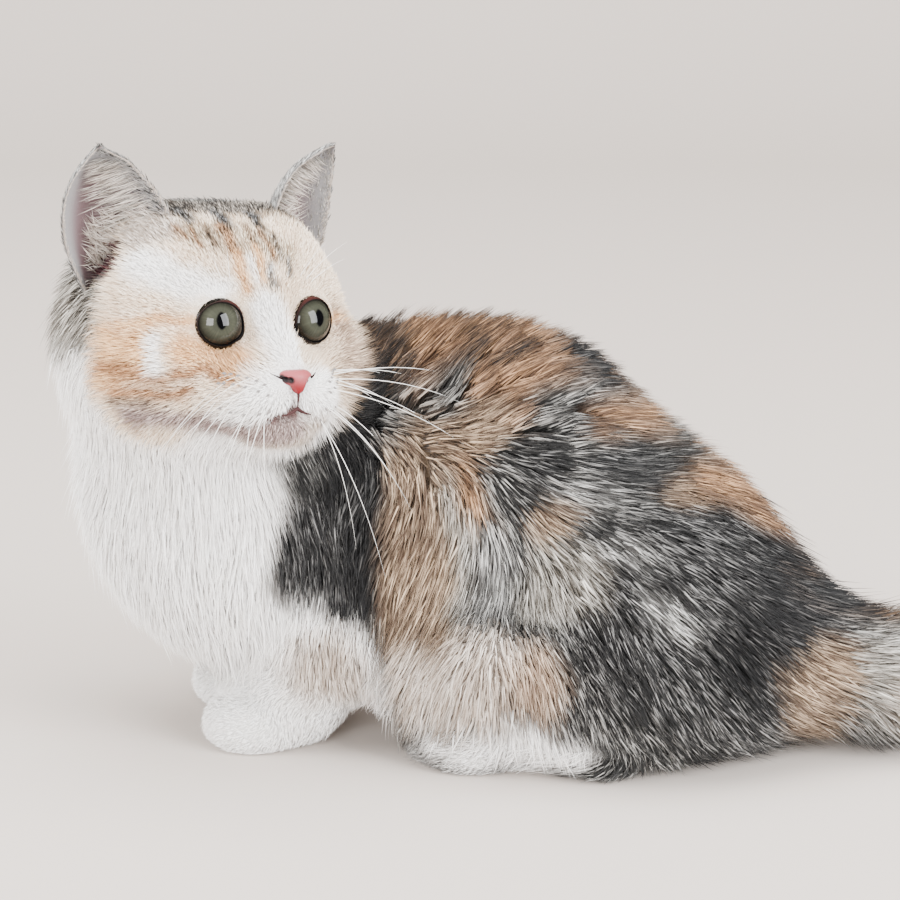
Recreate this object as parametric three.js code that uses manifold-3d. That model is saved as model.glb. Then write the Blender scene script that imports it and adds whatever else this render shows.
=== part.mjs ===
// A munchkin kitten with a semi-long coat, crouched on its haunches, life size.
// Millimetres, +Z up. The body lies along X with the chest at -X, its left side faces -Y,
// and the head is turned to its left. The origin is at the middle of the box on the floor.
import * as THREE from "three";
import { mergeVertices } from "three/addons/utils/BufferGeometryUtils.js";
import Module from "manifold-3d";

const wasm = await Module();
wasm.setup();

// Driving sizes
const GAP = 0.3; // air between nodes that touch
const SOCKET_GAP = 0.9; // air kept round the head, whose cut is coarser than its facets
const FLOOR = 0; // level on which the paws, belly and tail rest
const MIDDLE_X = 62.8; // middle of the built box, which becomes the origin
const MIDDLE_Y = 9.4;

// Layers of the coat: 0 is the skin and 1 the tips. Where locks grow, the solid body under
// them is the core; short fur is solid out to its tips.
const TIPS = 1;
const CORE = 0.5;

// Depth of the coat over each region
const COAT = { back: 12, ruff: 14, flank: 12, thigh: 11, foreleg: 4, paw: 2, tail: 15, face: 2.5, cheek: 5 };

// Widths over which forms blend into each other
const BLEND = { torso: 16, leg: 8, tail: 10, head: 8, socket: 3 };

// Cell sizes of the facets
const CELL = {
  face: 4.4,
  skull: 8,
  body: 15,
  neck: 13,
  paw: 6.5,
  hindfoot: 8.4,
  leg: 13,
  tail: 12,
  socket: 9,
};

// Edges shorter than these are drawn together once a node is cut
const SHORTEST = { head: 0.3, body: 0.5 };

// Small vector helpers
const at = (x, y, z) => new THREE.Vector3(x, y, z);
const lerp = THREE.MathUtils.lerp;
const rad = THREE.MathUtils.degToRad;

// A round form: an ellipsoid turned about Z by yaw and tilted about its own side axis by tilt.
function ball(centre, radii, coat, yaw = 0, tilt = 0) {
  const turn = new THREE.Matrix4().makeRotationZ(rad(yaw));
  turn.multiply(new THREE.Matrix4().makeRotationY(rad(tilt)));
  const m = turn.elements;
  return (x, y, z, layer) => {
    const dx = x - centre.x;
    const dy = y - centre.y;
    const dz = z - centre.z;
    const grow = layer * coat;
    const rx = radii.x + grow;
    const ry = radii.y + grow;
    const rz = radii.z + grow;
    const u = (m[0] * dx + m[1] * dy + m[2] * dz) / rx;
    const v = (m[4] * dx + m[5] * dy + m[6] * dz) / ry;
    const w = (m[8] * dx + m[9] * dy + m[10] * dz) / rz;
    const reach = Math.hypot(u, v, w);
    const slope = Math.hypot(u / rx, v / ry, w / rz);
    return slope < 1e-9 ? -Math.min(rx, ry, rz) : (reach * (reach - 1)) / slope;
  };
}

// A limb form: a round rod that tapers between two points.
function rod(from, to, startRadius, endRadius, coat) {
  const way = to.clone().sub(from);
  const length2 = way.lengthSq();
  return (x, y, z, layer) => {
    const dx = x - from.x;
    const dy = y - from.y;
    const dz = z - from.z;
    const t = Math.min(1, Math.max(0, (dx * way.x + dy * way.y + dz * way.z) / length2));
    const gap = Math.hypot(dx - way.x * t, dy - way.y * t, dz - way.z * t);
    return gap - lerp(startRadius, endRadius, t) - layer * coat;
  };
}

// Short fur keeps its full depth in every layer.
const short = (form) => (x, y, z) => form(x, y, z, TIPS);

// Joins forms with soft creases of the given width.
function blend(forms, width) {
  return (x, y, z, layer) => {
    let d = Infinity;
    for (const form of forms) {
      const e = form(x, y, z, layer);
      const h = Math.max(width - Math.abs(d - e), 0) / width;
      d = d === Infinity ? e : Math.min(d, e) - (h * h * width) / 4;
    }
    return d;
  };
}

// Hollows a form with soft edges of the given width.
function carve(form, hollows, width) {
  return (x, y, z, layer) => {
    let d = form(x, y, z, layer);
    for (const hollow of hollows) {
      const e = -hollow(x, y, z, 0);
      const h = Math.max(width - Math.abs(d - e), 0) / width;
      d = Math.max(d, e) + (h * h * width) / 4;
    }
    return d;
  };
}

// Torso, from the breast to the rump
const torsoForms = [
  ball(at(-72, 21, 80), at(33, 30, 37), COAT.ruff),
  ball(at(-62, 20, 60), at(28, 28, 29), COAT.ruff),
  ball(at(-18, 18, 80), at(47, 30, 41), COAT.back),
  ball(at(15, 12, 80), at(42, 33, 43), COAT.back),
  ball(at(4, 0, 30), at(20, 23, 27), COAT.flank),
  ball(at(56, 4, 53), at(41, 36, 38), COAT.back),
  ball(at(90, -1, 33), at(23, 27, 24), COAT.back),
];

// Neck, from between the shoulders to the back of the head
const NECK = { base: at(-60, 20, 84), top: at(-80, 8, 124), radius: 28 };
const neckForms = [rod(NECK.base, NECK.top, NECK.radius, NECK.radius, COAT.ruff)];

// A paw with four toes, its long way along yaw.
function paw(centre, radii, yaw, coat, toeReach, toeSize) {
  const ahead = at(Math.cos(rad(yaw)), Math.sin(rad(yaw)), 0);
  const side = at(-ahead.y, ahead.x, 0);
  const forms = [ball(centre, radii, coat, yaw)];
  for (const place of [-1.5, -0.5, 0.5, 1.5]) {
    const reach = toeReach - (Math.abs(place) > 1 ? toeSize * 0.7 : 0);
    const toe = centre
      .clone()
      .addScaledVector(ahead, reach)
      .addScaledVector(side, place * toeSize * 1.25);
    toe.z = toeSize + FLOOR;
    forms.push(ball(toe, at(toeSize * 1.5, toeSize * 0.82, toeSize), coat, yaw));
  }
  return forms;
}

// Forelegs: shoulder, elbow, wrist and paw; side is +1 on the kitten's left and -1 on its right
const FRONT_MIDDLE = 23;
function foreleg(side) {
  const y = (offset) => FRONT_MIDDLE - side * offset;
  const stride = side > 0 ? 0 : 6;
  const shoulder = at(-42, y(23), 64);
  const elbow = at(-36, y(25), 42);
  const wrist = at(-46 - stride, y(side > 0 ? 21 : 24), 20);
  const toes = at(-55 - stride, y(side > 0 ? 18 : 24), 9);
  return [
    rod(shoulder, elbow, 13, 12, COAT.flank),
    short(rod(elbow, wrist, 15, 12.5, COAT.foreleg)),
    short(rod(wrist, toes, 12.5, 9, COAT.paw)),
    ...paw(toes, at(17, 12.5, 9), 182, COAT.paw, 12, 6).map(short),
  ];
}

// Hind legs: thigh, knee, heel and the foot flat on the floor
const REAR_MIDDLE = 3;
const REAR_YAW = 172;
function hindleg(side) {
  const y = (offset) => REAR_MIDDLE - side * offset;
  const stride = side > 0 ? 0 : 8;
  const thigh = at(60, y(23), 40);
  const knee = at(18, y(27), 36);
  const heel = at(48, y(27), 10);
  const toes = at(4 + stride, y(17), 9);
  return [
    ball(thigh, at(33, 17, 33), COAT.thigh, REAR_YAW - 180),
    rod(thigh, knee, 21, 12, COAT.thigh),
    rod(knee, heel, 12, 7, COAT.thigh),
    short(rod(heel, toes, 9.5, 9, COAT.foreleg)),
    ...paw(toes, at(15, 12, 8.5), 184, COAT.paw, 7, 5.6).map(short),
  ];
}

// Tail, along the floor behind the rump
const TAIL = [
  { place: at(100, -2, 34), radius: 11 },
  { place: at(140, -1, 21.5), radius: 7.5 },
  { place: at(172, 4, 21.5), radius: 7 },
  { place: at(203, 14, 20), radius: 5.5 },
  { place: at(228, 28, 17), radius: 3 },
];
const tailForms = TAIL.slice(1).map((end, i) => {
  const start = TAIL[i];
  return rod(start.place, end.place, start.radius, end.radius, COAT.tail);
});

const forelegForms = { left: foreleg(1), right: foreleg(-1) };
const hindlegForms = { left: hindleg(1), right: hindleg(-1) };
const limbField = {
  forelegLeft: blend(forelegForms.left, BLEND.leg),
  forelegRight: blend(forelegForms.right, BLEND.leg),
  hindlegLeft: blend(hindlegForms.left, BLEND.leg),
  hindlegRight: blend(hindlegForms.right, BLEND.leg),
};
const bodyField = blend(
  [
    blend([...torsoForms, ...neckForms], BLEND.torso),
    ...Object.values(limbField),
    blend(tailForms, BLEND.tail),
  ],
  BLEND.tail,
);

// Head, in its own frame: +X forward, +Y to the kitten's left, +Z up
const HEAD = { centre: at(-71, -5, 137), yaw: 307, pitch: 7, roll: -6.2 };
const EYE = { place: at(20.6, 14.9, 3), radius: 9.4, outward: 11, width: 8, height: 7.3 };
const NOSE = { place: at(43.4, 0, -12.8), radii: at(3.4, 5.2, 3.8) };
const headForms = [
  ball(at(-8, 0, 8), at(36, 32, 28), COAT.face),
  ball(at(12, 0, 11), at(17, 24, 18), COAT.face),
  ball(at(14, 18.5, -9), at(15, 13, 12), COAT.face),
  ball(at(14, -18.5, -9), at(15, 13, 12), COAT.face),
  ball(at(4, 24, -12), at(21, 15, 17), COAT.cheek),
  ball(at(4, -24, -12), at(21, 15, 17), COAT.cheek),
  ball(at(8, 0, -21), at(23, 18, 11), COAT.cheek),
  ball(at(19, 12.5, -18), at(13, 11, 10), COAT.face),
  ball(at(19, -12.5, -18), at(13, 11, 10), COAT.face),
  rod(at(19, 0, 5), at(36, 0, -10), 9, 5.5, COAT.face),
  ball(at(33.5, 7.5, -18.5), at(9.5, 9.5, 7.5), COAT.face),
  ball(at(33.5, -7.5, -18.5), at(9.5, 9.5, 7.5), COAT.face),
  ball(at(32, 0, -27), at(8, 8.5, 5.5), COAT.face),
];

// Places on the face: side is +1 on the kitten's left and -1 on its right
const eyeCentre = (side) => at(EYE.place.x, side * EYE.place.y, EYE.place.z);
function eyeAxes(side) {
  const look = at(Math.cos(rad(EYE.outward)), side * Math.sin(rad(EYE.outward)), 0.03).normalize();
  const across = at(0, 0, 1).cross(look).normalize();
  return { look, across, up: look.clone().cross(across) };
}
const socket = (side) => {
  const centre = eyeCentre(side).addScaledVector(eyeAxes(side).look, EYE.radius - 0.4);
  return ball(centre, at(EYE.radius - 1.2, EYE.radius - 1.2, EYE.radius - 1.6), 0);
};
const headField = carve(blend(headForms.map(short), BLEND.head), [socket(1), socket(-1)], BLEND.socket);

// Moves a point to where the field is nil, down its slope.
function settle(field, layer, p, reach, offset = 0) {
  const step = 0.05;
  const start = p.clone();
  for (let turn = 0; turn < 4; turn += 1) {
    const d = field(p.x, p.y, p.z, layer) - offset;
    const slope = at(
      field(p.x + step, p.y, p.z, layer) - offset - d,
      field(p.x, p.y + step, p.z, layer) - offset - d,
      field(p.x, p.y, p.z + step, layer) - offset - d,
    ).divideScalar(step);
    const size = Math.max(slope.lengthSq(), 0.2);
    p.addScaledVector(slope, -d / size);
  }
  if (p.distanceTo(start) > reach) p.copy(start);
  return p;
}

// The corners, edges and sides of a grid cell, for joining crossings that share a patch
const CORNERS = Array.from({ length: 8 }, (_, c) => [c & 1, (c >> 1) & 1, (c >> 2) & 1]);
const EDGES = [0, 1, 2].flatMap((axis) =>
  CORNERS.flatMap((corner, c) => (corner[axis] ? [] : [[c, c | (1 << axis)]])),
);
const SIDES = [0, 1, 2].flatMap((axis) =>
  [0, 1].map((end) =>
    EDGES.flatMap((edge, e) => (edge.every((c) => CORNERS[c][axis] === end) ? [e] : [])),
  ),
);

// Groups a cell's crossed edges into the patches of surface that pass through it.
function patches(inside) {
  const group = EDGES.map(([a, b], e) => (inside[a] === inside[b] ? -1 : e));
  const join = (e, f) => {
    const [keep, drop] = [group[e], group[f]];
    group.forEach((g, i) => {
      if (g === drop) group[i] = keep;
    });
  };
  for (const side of SIDES) {
    const crossed = side.filter((e) => group[e] >= 0);
    if (crossed.length === 2) join(crossed[0], crossed[1]);
    if (crossed.length !== 4) continue;
    const insideEnd = (e) => EDGES[e].find((c) => inside[c]);
    const first = crossed[0];
    const mate = crossed.slice(1).find((e) => insideEnd(e) === insideEnd(first));
    const rest = crossed.filter((e) => e !== first && e !== mate);
    join(first, mate);
    join(rest[0], rest[1]);
  }
  return group;
}

// Facets of the surface where field(x, y, z, layer) = offset, closed at the sides of its box.
function surface(field, layer, low, high, cell, offset = 0) {
  const n = ["x", "y", "z"].map((k) => Math.ceil((high[k] - low[k]) / cell) + 1);
  const spot = (i, j, k) => i + n[0] * (j + n[1] * k);
  const values = new Float64Array(n[0] * n[1] * n[2]);
  for (let k = 0; k < n[2]; k += 1)
    for (let j = 0; j < n[1]; j += 1)
      for (let i = 0; i < n[0]; i += 1) {
        const edge = Math.max(2 - i, 2 - j, 2 - k, i + 3 - n[0], j + 3 - n[1], k + 3 - n[2]);
        const d = field(low.x + i * cell, low.y + j * cell, low.z + k * cell, layer) - offset;
        values[spot(i, j, k)] = Math.max(d, (edge - 0.45) * cell);
      }
  const corners = [];
  const cornerOf = new Map();
  const places = CORNERS.map((corner) => at(...corner));
  for (let k = 0; k < n[2] - 1; k += 1)
    for (let j = 0; j < n[1] - 1; j += 1)
      for (let i = 0; i < n[0] - 1; i += 1) {
        const here = CORNERS.map(([a, b, c]) => values[spot(i + a, j + b, k + c)]);
        const inside = here.map((v) => v < 0);
        if (inside.every((v) => v) || !inside.some((v) => v)) continue;
        const group = patches(inside);
        const ids = new Set(group.filter((g) => g >= 0));
        for (const id of ids) {
          const members = EDGES.flatMap((edge, e) => (group[e] === id ? [e] : []));
          const middle = at(0, 0, 0);
          for (const e of members) {
            const [a, b] = EDGES[e];
            middle.add(places[a].clone().lerp(places[b], here[a] / (here[a] - here[b])));
            cornerOf.set(spot(i, j, k) * 12 + e, corners.length);
          }
          middle.divideScalar(members.length).add(at(i, j, k)).multiplyScalar(cell).add(low);
          corners.push(ids.size > 1 ? middle : settle(field, layer, middle, cell * 0.6, offset));
        }
      }
  const faces = [];
  const around = [[-1, -1], [0, -1], [0, 0], [-1, 0]];
  for (let k = 1; k < n[2] - 1; k += 1)
    for (let j = 1; j < n[1] - 1; j += 1)
      for (let i = 1; i < n[0] - 1; i += 1)
        for (let axis = 0; axis < 3; axis += 1) {
          const from = [i, j, k];
          const to = [i, j, k];
          to[axis] += 1;
          const here = values[spot(...from)] < 0;
          if (here === values[spot(...to)] < 0) continue;
          const q = around.map(([b, c]) => {
            const cellAt = [...from];
            cellAt[(axis + 1) % 3] += b;
            cellAt[(axis + 2) % 3] += c;
            const local = from.map((v, m) => v - cellAt[m]);
            const corner = local[0] | (local[1] << 1) | (local[2] << 2);
            const edge = EDGES.findIndex(([a, b2]) => a === corner && b2 === (corner | (1 << axis)));
            return cornerOf.get(spot(...cellAt) * 12 + edge);
          });
          if (!here) q.reverse();
          const [p0, p1, p2, p3] = q.map((c) => corners[c]);
          if (p0.distanceTo(p2) < p1.distanceTo(p3)) faces.push(q[0], q[1], q[2], q[0], q[2], q[3]);
          else faces.push(q[1], q[2], q[3], q[1], q[3], q[0]);
        }
  const geometry = new THREE.BufferGeometry();
  const flat = corners.flatMap((c) => c.toArray());
  geometry.setAttribute("position", new THREE.Float32BufferAttribute(flat, 3));
  geometry.setIndex(faces);
  return geometry;
}

// Turns geometry into a solid for cutting and joining, and back.
function solid(geometry) {
  const bare = geometry.clone();
  bare.deleteAttribute("normal");
  bare.deleteAttribute("uv");
  const whole = geometry.attributes.normal ? mergeVertices(bare, 1e-4) : bare;
  return new wasm.Manifold(
    new wasm.Mesh({
      numProp: 3,
      vertProperties: new Float32Array(whole.attributes.position.array),
      triVerts: new Uint32Array(whole.index.array),
    }),
  );
}

function geometryOf(shape) {
  const mesh = shape.getMesh();
  const geometry = new THREE.BufferGeometry();
  geometry.setAttribute("position", new THREE.BufferAttribute(mesh.vertProperties, 3));
  geometry.setIndex(new THREE.BufferAttribute(mesh.triVerts, 1));
  return geometry;
}

// The largest closed surface of a solid
function largest(shape) {
  const pieces = shape.decompose();
  return pieces.reduce((best, piece) => (piece.volume() > best.volume() ? piece : best));
}

// Drops the slivers that cutting leaves: an edge under the shortest length is drawn together
// where that keeps the surface closed and turns no facet over.
function tidied(shape, shortest) {
  const { position } = geometryOf(shape).attributes;
  const points = Array.from({ length: position.count }, (_, i) =>
    new THREE.Vector3().fromBufferAttribute(position, i),
  );
  const around = points.map(() => new Set());
  const faces = new Set();
  const index = geometryOf(shape).index.array;
  for (let i = 0; i < index.length; i += 3) {
    const face = [index[i], index[i + 1], index[i + 2]];
    faces.add(face);
    for (const v of face) around[v].add(face);
  }
  const neighbours = (v) => new Set([...around[v]].flat().filter((w) => w !== v));
  const normal = (face) => {
    const [a, b, c] = face.map((v) => points[v]);
    return b.clone().sub(a).cross(c.clone().sub(a));
  };
  const canMove = (from, to) =>
    [...around[from]].every((face) => {
      if (face.includes(to)) return true;
      const others = face.filter((v) => v !== from);
      const there = (other) => !other.includes(from) && others.every((v) => other.includes(v));
      if ([...around[to]].some(there)) return false;
      const before = normal(face);
      const after = normal(face.map((v) => (v === from ? to : v)));
      return before.dot(after) > 0.6 * before.length() * after.length() && after.length() > 1e-3;
    });
  const edges = [...faces].flatMap(([a, b, c]) => [[a, b], [b, c], [c, a]]);
  const size = ([a, b]) => points[a].distanceTo(points[b]);
  const short = edges.filter((edge) => edge[0] < edge[1] && size(edge) < shortest);
  short.sort((e, f) => size(e) - size(f));
  for (const [a, b] of short) {
    if (!around[a].size || !around[b].size || !neighbours(a).has(b)) continue;
    const shared = [...neighbours(a)].filter((v) => neighbours(b).has(v));
    if (shared.length !== 2) continue;
    const [from, to] = canMove(b, a) ? [b, a] : [a, b];
    if (!canMove(from, to)) continue;
    for (const face of [...around[from]]) {
      for (const v of face) around[v].delete(face);
      if (face.includes(to)) {
        faces.delete(face);
        continue;
      }
      face[face.indexOf(from)] = to;
      for (const v of face) around[v].add(face);
    }
  }
  const kept = [...new Set([...faces].flat())];
  const place = new Map(kept.map((v, i) => [v, i]));
  const geometry = new THREE.BufferGeometry();
  const flat = kept.flatMap((v) => points[v].toArray());
  geometry.setAttribute("position", new THREE.Float32BufferAttribute(flat, 3));
  geometry.setIndex([...faces].flat().map((v) => place.get(v)));
  return geometry;
}

function block(low, high) {
  const size = high.clone().sub(low);
  const middle = high.clone().add(low).multiplyScalar(0.5);
  return solid(new THREE.BoxGeometry(size.x, size.y, size.z).translate(...middle.toArray()));
}

// A strip of rings swept into one closed piece; each ring is a list of points, alike in count,
// and the last may be a single point.
function loft(rings, closed = false) {
  const count = rings[0].length;
  const points = rings.flat();
  const faces = [];
  const pointed = rings.at(-1).length === 1;
  const last = closed ? rings.length : rings.length - (pointed ? 2 : 1);
  for (let r = 0; r < last; r += 1)
    for (let c = 0; c < count; c += 1) {
      const next = (r + 1) % rings.length;
      const a = r * count + c;
      const b = r * count + ((c + 1) % count);
      const d = next * count + c;
      const e = next * count + ((c + 1) % count);
      faces.push(a, b, e, a, e, d);
    }
  const end = (rings.length - (pointed ? 2 : 1)) * count;
  if (!closed)
    for (let c = 1; c < count - 1; c += 1) {
      faces.push(0, c + 1, c);
      if (!pointed) faces.push(end, end + c, end + c + 1);
    }
  if (pointed)
    for (let c = 0; c < count; c += 1) faces.push(end + c, end + ((c + 1) % count), points.length - 1);
  const g = new THREE.BufferGeometry();
  g.setAttribute("position", new THREE.Float32BufferAttribute(points.flatMap((p) => p.toArray()), 3));
  g.setIndex(faces);
  return g;
}

// A round rope through points, with its radius at each point and a fixed number of sides.
function rope(points, radii, sides, closed = false) {
  const curve = new THREE.CatmullRomCurve3(points, closed);
  const steps = radii.length - (closed ? 0 : 1);
  const frames = curve.computeFrenetFrames(steps, closed);
  const rings = radii.map((radius, i) => {
    const centre = curve.getPointAt(i / steps);
    return Array.from({ length: sides }, (_, c) => {
      const angle = (c / sides) * Math.PI * 2;
      return centre
        .clone()
        .addScaledVector(frames.normals[i], Math.cos(angle) * radius)
        .addScaledVector(frames.binormals[i], Math.sin(angle) * radius);
    });
  });
  return loft(rings, closed);
}

// Turns a loft the right way out if its faces point inwards.
function outward(geometry) {
  const shape = solid(geometry);
  if (shape.volume() > 0) return shape;
  const index = geometry.index.array;
  for (let i = 0; i < index.length; i += 3) [index[i + 1], index[i + 2]] = [index[i + 2], index[i + 1]];
  return solid(geometry);
}

// Zones: what each node takes of the whole body, grown by the gap where a neighbour is cut
const leftOf = (y) => block(at(-200, -200, -20), at(300, y, 250));
const rightOf = (y) => block(at(-200, y, -20), at(300, 200, 250));
const half = (side, middle, grow) =>
  side > 0 ? leftOf(middle + grow) : rightOf(middle + GAP - grow);
const tailZone = (grow) => block(at(118 - grow, -80, -5), at(280, 90, 90));
const TAIL_CUTS = [158, 196];
function forelegZone(side, grow) {
  const upper = oval(-44, 48, 27 + grow, 42 + grow, FRONT_MIDDLE - side * (7 - grow), side);
  const lower = block(at(-110 - grow, -90, -5), at(-24 + grow, 120, 26 + grow));
  return upper.add(lower.intersect(half(side, FRONT_MIDDLE, grow)));
}
function hindlegZone(side, grow) {
  const upper = oval(46, 36, 66 + grow, 44 + grow, REAR_MIDDLE - side * (9 - grow), side);
  const lower = block(at(-23.4 - grow, -90, -5), at(64 + grow, 120, 21 + grow));
  return upper.add(lower.intersect(half(side, REAR_MIDDLE, grow)));
}
function neckZone(grow) {
  const way = NECK.top.clone().sub(NECK.base).normalize();
  const box = new THREE.BoxGeometry(260, 200, 120).translate(0, 0, 60 - grow + 12);
  box.applyQuaternion(new THREE.Quaternion().setFromUnitVectors(at(0, 0, 1), way));
  return solid(box.translate(...NECK.base.toArray()));
}

// An oval column that runs outwards on one side of the body from the plane at y
function oval(x, z, radiusX, radiusZ, y, side) {
  const length = 120;
  const g = new THREE.CylinderGeometry(1, 1, length, 22).scale(radiusX, 1, radiusZ);
  return solid(g.translate(x, y - (side * length) / 2, z));
}

const floorCut = () => block(at(-200, -200, -50), at(300, 200, FLOOR));

const bodyPart = (low, high, cell, layer) => solid(surface(bodyField, layer, low, high, cell));

// A leg has finer facets on its foot, below this level, than on the limb above.
const FOOT_BELOW = 22;
function legPart(low, high, footCell) {
  const foot = bodyPart(low, at(high.x, high.y, FOOT_BELOW + 24), footCell, CORE);
  const limb = bodyPart(low, high, CELL.leg, CORE);
  const above = (z) => block(at(-200, -200, z), at(300, 200, 200));
  return limb.intersect(above(FOOT_BELOW)).add(foot.subtract(above(FOOT_BELOW + 0.05)));
}

// Seeded draws, so that every build is alike
let seed = 16;
function draw(low = 0, high = 1) {
  seed = (seed * 1664525 + 1013904223) >>> 0;
  return lerp(low, high, seed / 2 ** 32);
}
const ramp = (low, high, x) => THREE.MathUtils.smoothstep(x, low, high);

// The lie of the coat at a point: back over the flanks and steeper the lower it is, straight
// down the breast, down from the nape and along the tail
function lie(p) {
  const breast = 1 - ramp(-104, -70, p.x);
  const nape = 0.7 * ramp(92, 128, p.z) * (1 - ramp(-60, -30, p.x));
  const tail = ramp(96, 124, p.x);
  const overFlank = at(1, 0, lerp(-1.25, -0.12, ramp(40, 118, p.z)));
  const downBreast = at(0.15, 0, -1);
  const downNape = at(0.5, 0.2, -0.85);
  const alongTail = at(1, lerp(0.1, 0.45, ramp(150, 230, p.x)), -0.1);
  return overFlank.lerp(downBreast, breast).lerp(downNape, nape).lerp(alongTail, tail).normalize();
}

// The way down the field at a point
function outwards(p, layer) {
  const step = 0.5;
  const d = (x, y, z) => bodyField(p.x + x, p.y + y, p.z + z, layer);
  return at(
    d(step, 0, 0) - d(-step, 0, 0),
    d(0, step, 0) - d(0, -step, 0),
    d(0, 0, step) - d(0, 0, -step),
  ).normalize();
}

// One flat, tapered lock: it leaves the core, follows the lie of the coat, and its point lies
// at the tips. Its section is a low triangle.
const STATIONS = [
  { along: 0, layer: 0.25, wide: 0.5 },
  { along: 0.34, layer: 0.7, wide: 1 },
  { along: 0.68, layer: 0.9, wide: 0.72 },
];
const REACH = 1.06; // layer of the very tips, a little past the mean outline
const SWING = 0.2; // how far a lock may turn aside, in radians
function lock(root, length, width, thickness) {
  const swing = draw(-SWING, SWING);
  const p = root.clone();
  const rings = [];
  let gone = 0;
  const advance = (to, layer) => {
    const way = lie(p);
    const normal = outwards(p, layer);
    way.addScaledVector(normal, -way.dot(normal)).normalize();
    way.applyAxisAngle(normal, swing * (0.4 + to));
    p.addScaledVector(way, (to - gone) * length);
    gone = to;
    settle(bodyField, layer, p, 40);
    return { way, normal: outwards(p, layer) };
  };
  for (const { along, layer, wide } of STATIONS) {
    const { way, normal } = advance(along, layer);
    const across = normal.clone().cross(way).normalize().multiplyScalar((width * wide) / 2);
    const ridge = p.clone().addScaledVector(normal, thickness * (0.4 + 0.6 * wide));
    rings.push([p.clone().add(across), ridge, p.clone().sub(across)]);
  }
  advance(1, REACH);
  return outward(loft([...rings, [p.clone()]]));
}

// Places on a solid's surface, spread evenly, further apart along the lie than across it. Many
// are drawn, and those on a cut face, which lies deep in the body, are left out.
const DRAWS = 1400;
const DEEP = 4;
function spread(shape, along, across, allowed) {
  const geometry = geometryOf(shape).toNonIndexed();
  const corner = (i) => new THREE.Vector3().fromBufferAttribute(geometry.attributes.position, i);
  const faces = [];
  let area = 0;
  for (let i = 0; i < geometry.attributes.position.count; i += 3) {
    const face = new THREE.Triangle(corner(i), corner(i + 1), corner(i + 2));
    area += face.getArea();
    faces.push({ face, area });
  }
  const candidates = [];
  for (let i = 0; i < DRAWS; i += 1) {
    const pick = draw(0, area);
    const { face } = faces.find((f) => f.area >= pick);
    const [u, v] = [Math.sqrt(draw()), draw()];
    const p = face.a.clone().multiplyScalar(1 - u);
    p.addScaledVector(face.b, u * (1 - v)).addScaledVector(face.c, u * v);
    if (Math.abs(bodyField(p.x, p.y, p.z, CORE)) > DEEP || !allowed(p)) continue;
    settle(bodyField, CORE, p, 5);
    candidates.push({ p, way: lie(p), free: Infinity });
  }
  const chosen = [];
  while (candidates.length) {
    const best = candidates.reduce((a, b) => (b.free > a.free ? b : a));
    if (best.free < 1) break;
    chosen.push(best.p);
    for (const c of candidates) {
      const gap = c.p.clone().sub(best.p);
      const ahead = gap.dot(best.way);
      const aside = Math.sqrt(Math.max(gap.lengthSq() - ahead * ahead, 0));
      c.free = Math.min(c.free, Math.hypot(ahead / along, aside / across));
    }
  }
  return chosen;
}

// Covers a core with locks of about the given size, rooted on the part of it that shows.
function withLocks(core, shown, { along, across, length, width, thickness, allowed = () => true }) {
  const roots = spread(shown, along, across, allowed);
  const locks = roots.map((root) =>
    lock(root, length * draw(0.88, 1.12), width * draw(0.9, 1.1), thickness * draw(0.9, 1.1)),
  );
  return wasm.Manifold.union([core, ...locks]);
}

// Head group: everything in it is built in the head's own frame
const headMatrix = new THREE.Matrix4()
  .makeRotationZ(rad(HEAD.yaw))
  .multiply(new THREE.Matrix4().makeRotationY(rad(-HEAD.pitch)))
  .multiply(new THREE.Matrix4().makeRotationX(rad(HEAD.roll)))
  .setPosition(HEAD.centre);
const HEAD_LOW = at(-60, -55, -50);
const HEAD_HIGH = at(60, 55, 50);
const headShape = (cell, grow) =>
  solid(surface(headField, TIPS, HEAD_LOW, HEAD_HIGH, cell, grow));

// The rim of the lids round one eye: a loop on a ball just over the eyeball
function lidRim(side, over) {
  const { look, across, up } = eyeAxes(side);
  const count = 14;
  return Array.from({ length: count }, (_, i) => {
    const angle = (i / count) * Math.PI * 2;
    const inner = -side * Math.cos(angle);
    const sideways = Math.cos(angle) * EYE.width * (inner > 0.9 ? 1.14 : 1);
    const upwards = Math.sin(angle) * EYE.height - Math.max(0, inner) ** 3 * 1.6;
    const radius = EYE.radius + over;
    const ahead = Math.sqrt(Math.max(radius * radius - sideways ** 2 - upwards ** 2, 4));
    return eyeCentre(side)
      .addScaledVector(look, ahead)
      .addScaledVector(across, sideways)
      .addScaledVector(up, upwards);
  });
}

function eyeball(side, grow = 0) {
  const centre = eyeCentre(side);
  const { look } = eyeAxes(side);
  const g = new THREE.SphereGeometry(EYE.radius + grow, 12, 9);
  g.rotateX(Math.PI / 2);
  g.applyQuaternion(new THREE.Quaternion().setFromUnitVectors(at(0, 0, 1), look));
  return solid(g.translate(...centre.toArray()));
}

// The line of the mouth: from under the nose down, then out and back on each side
const MOUTH = { top: at(44, 0, -16), split: at(43, 0, -22), corner: at(31, 11.5, -25) };
const onFace = (p, lift = 0) => settle(headField, TIPS, p, 12, lift);
function mouthLine(side, lift) {
  const points = [
    MOUTH.split,
    at(41, side * 4, -24.8),
    at(37, side * 8, -26),
    at(MOUTH.corner.x, side * MOUTH.corner.y, MOUTH.corner.z),
  ];
  return points.map((p) => onFace(p.clone(), lift));
}

function noseSolid(grow = 0) {
  const g = new THREE.SphereGeometry(1, 10, 7).rotateY(Math.PI / 2);
  g.scale(NOSE.radii.x + grow, NOSE.radii.y + grow, NOSE.radii.z + grow);
  return solid(g.translate(...NOSE.place.toArray()));
}

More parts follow.
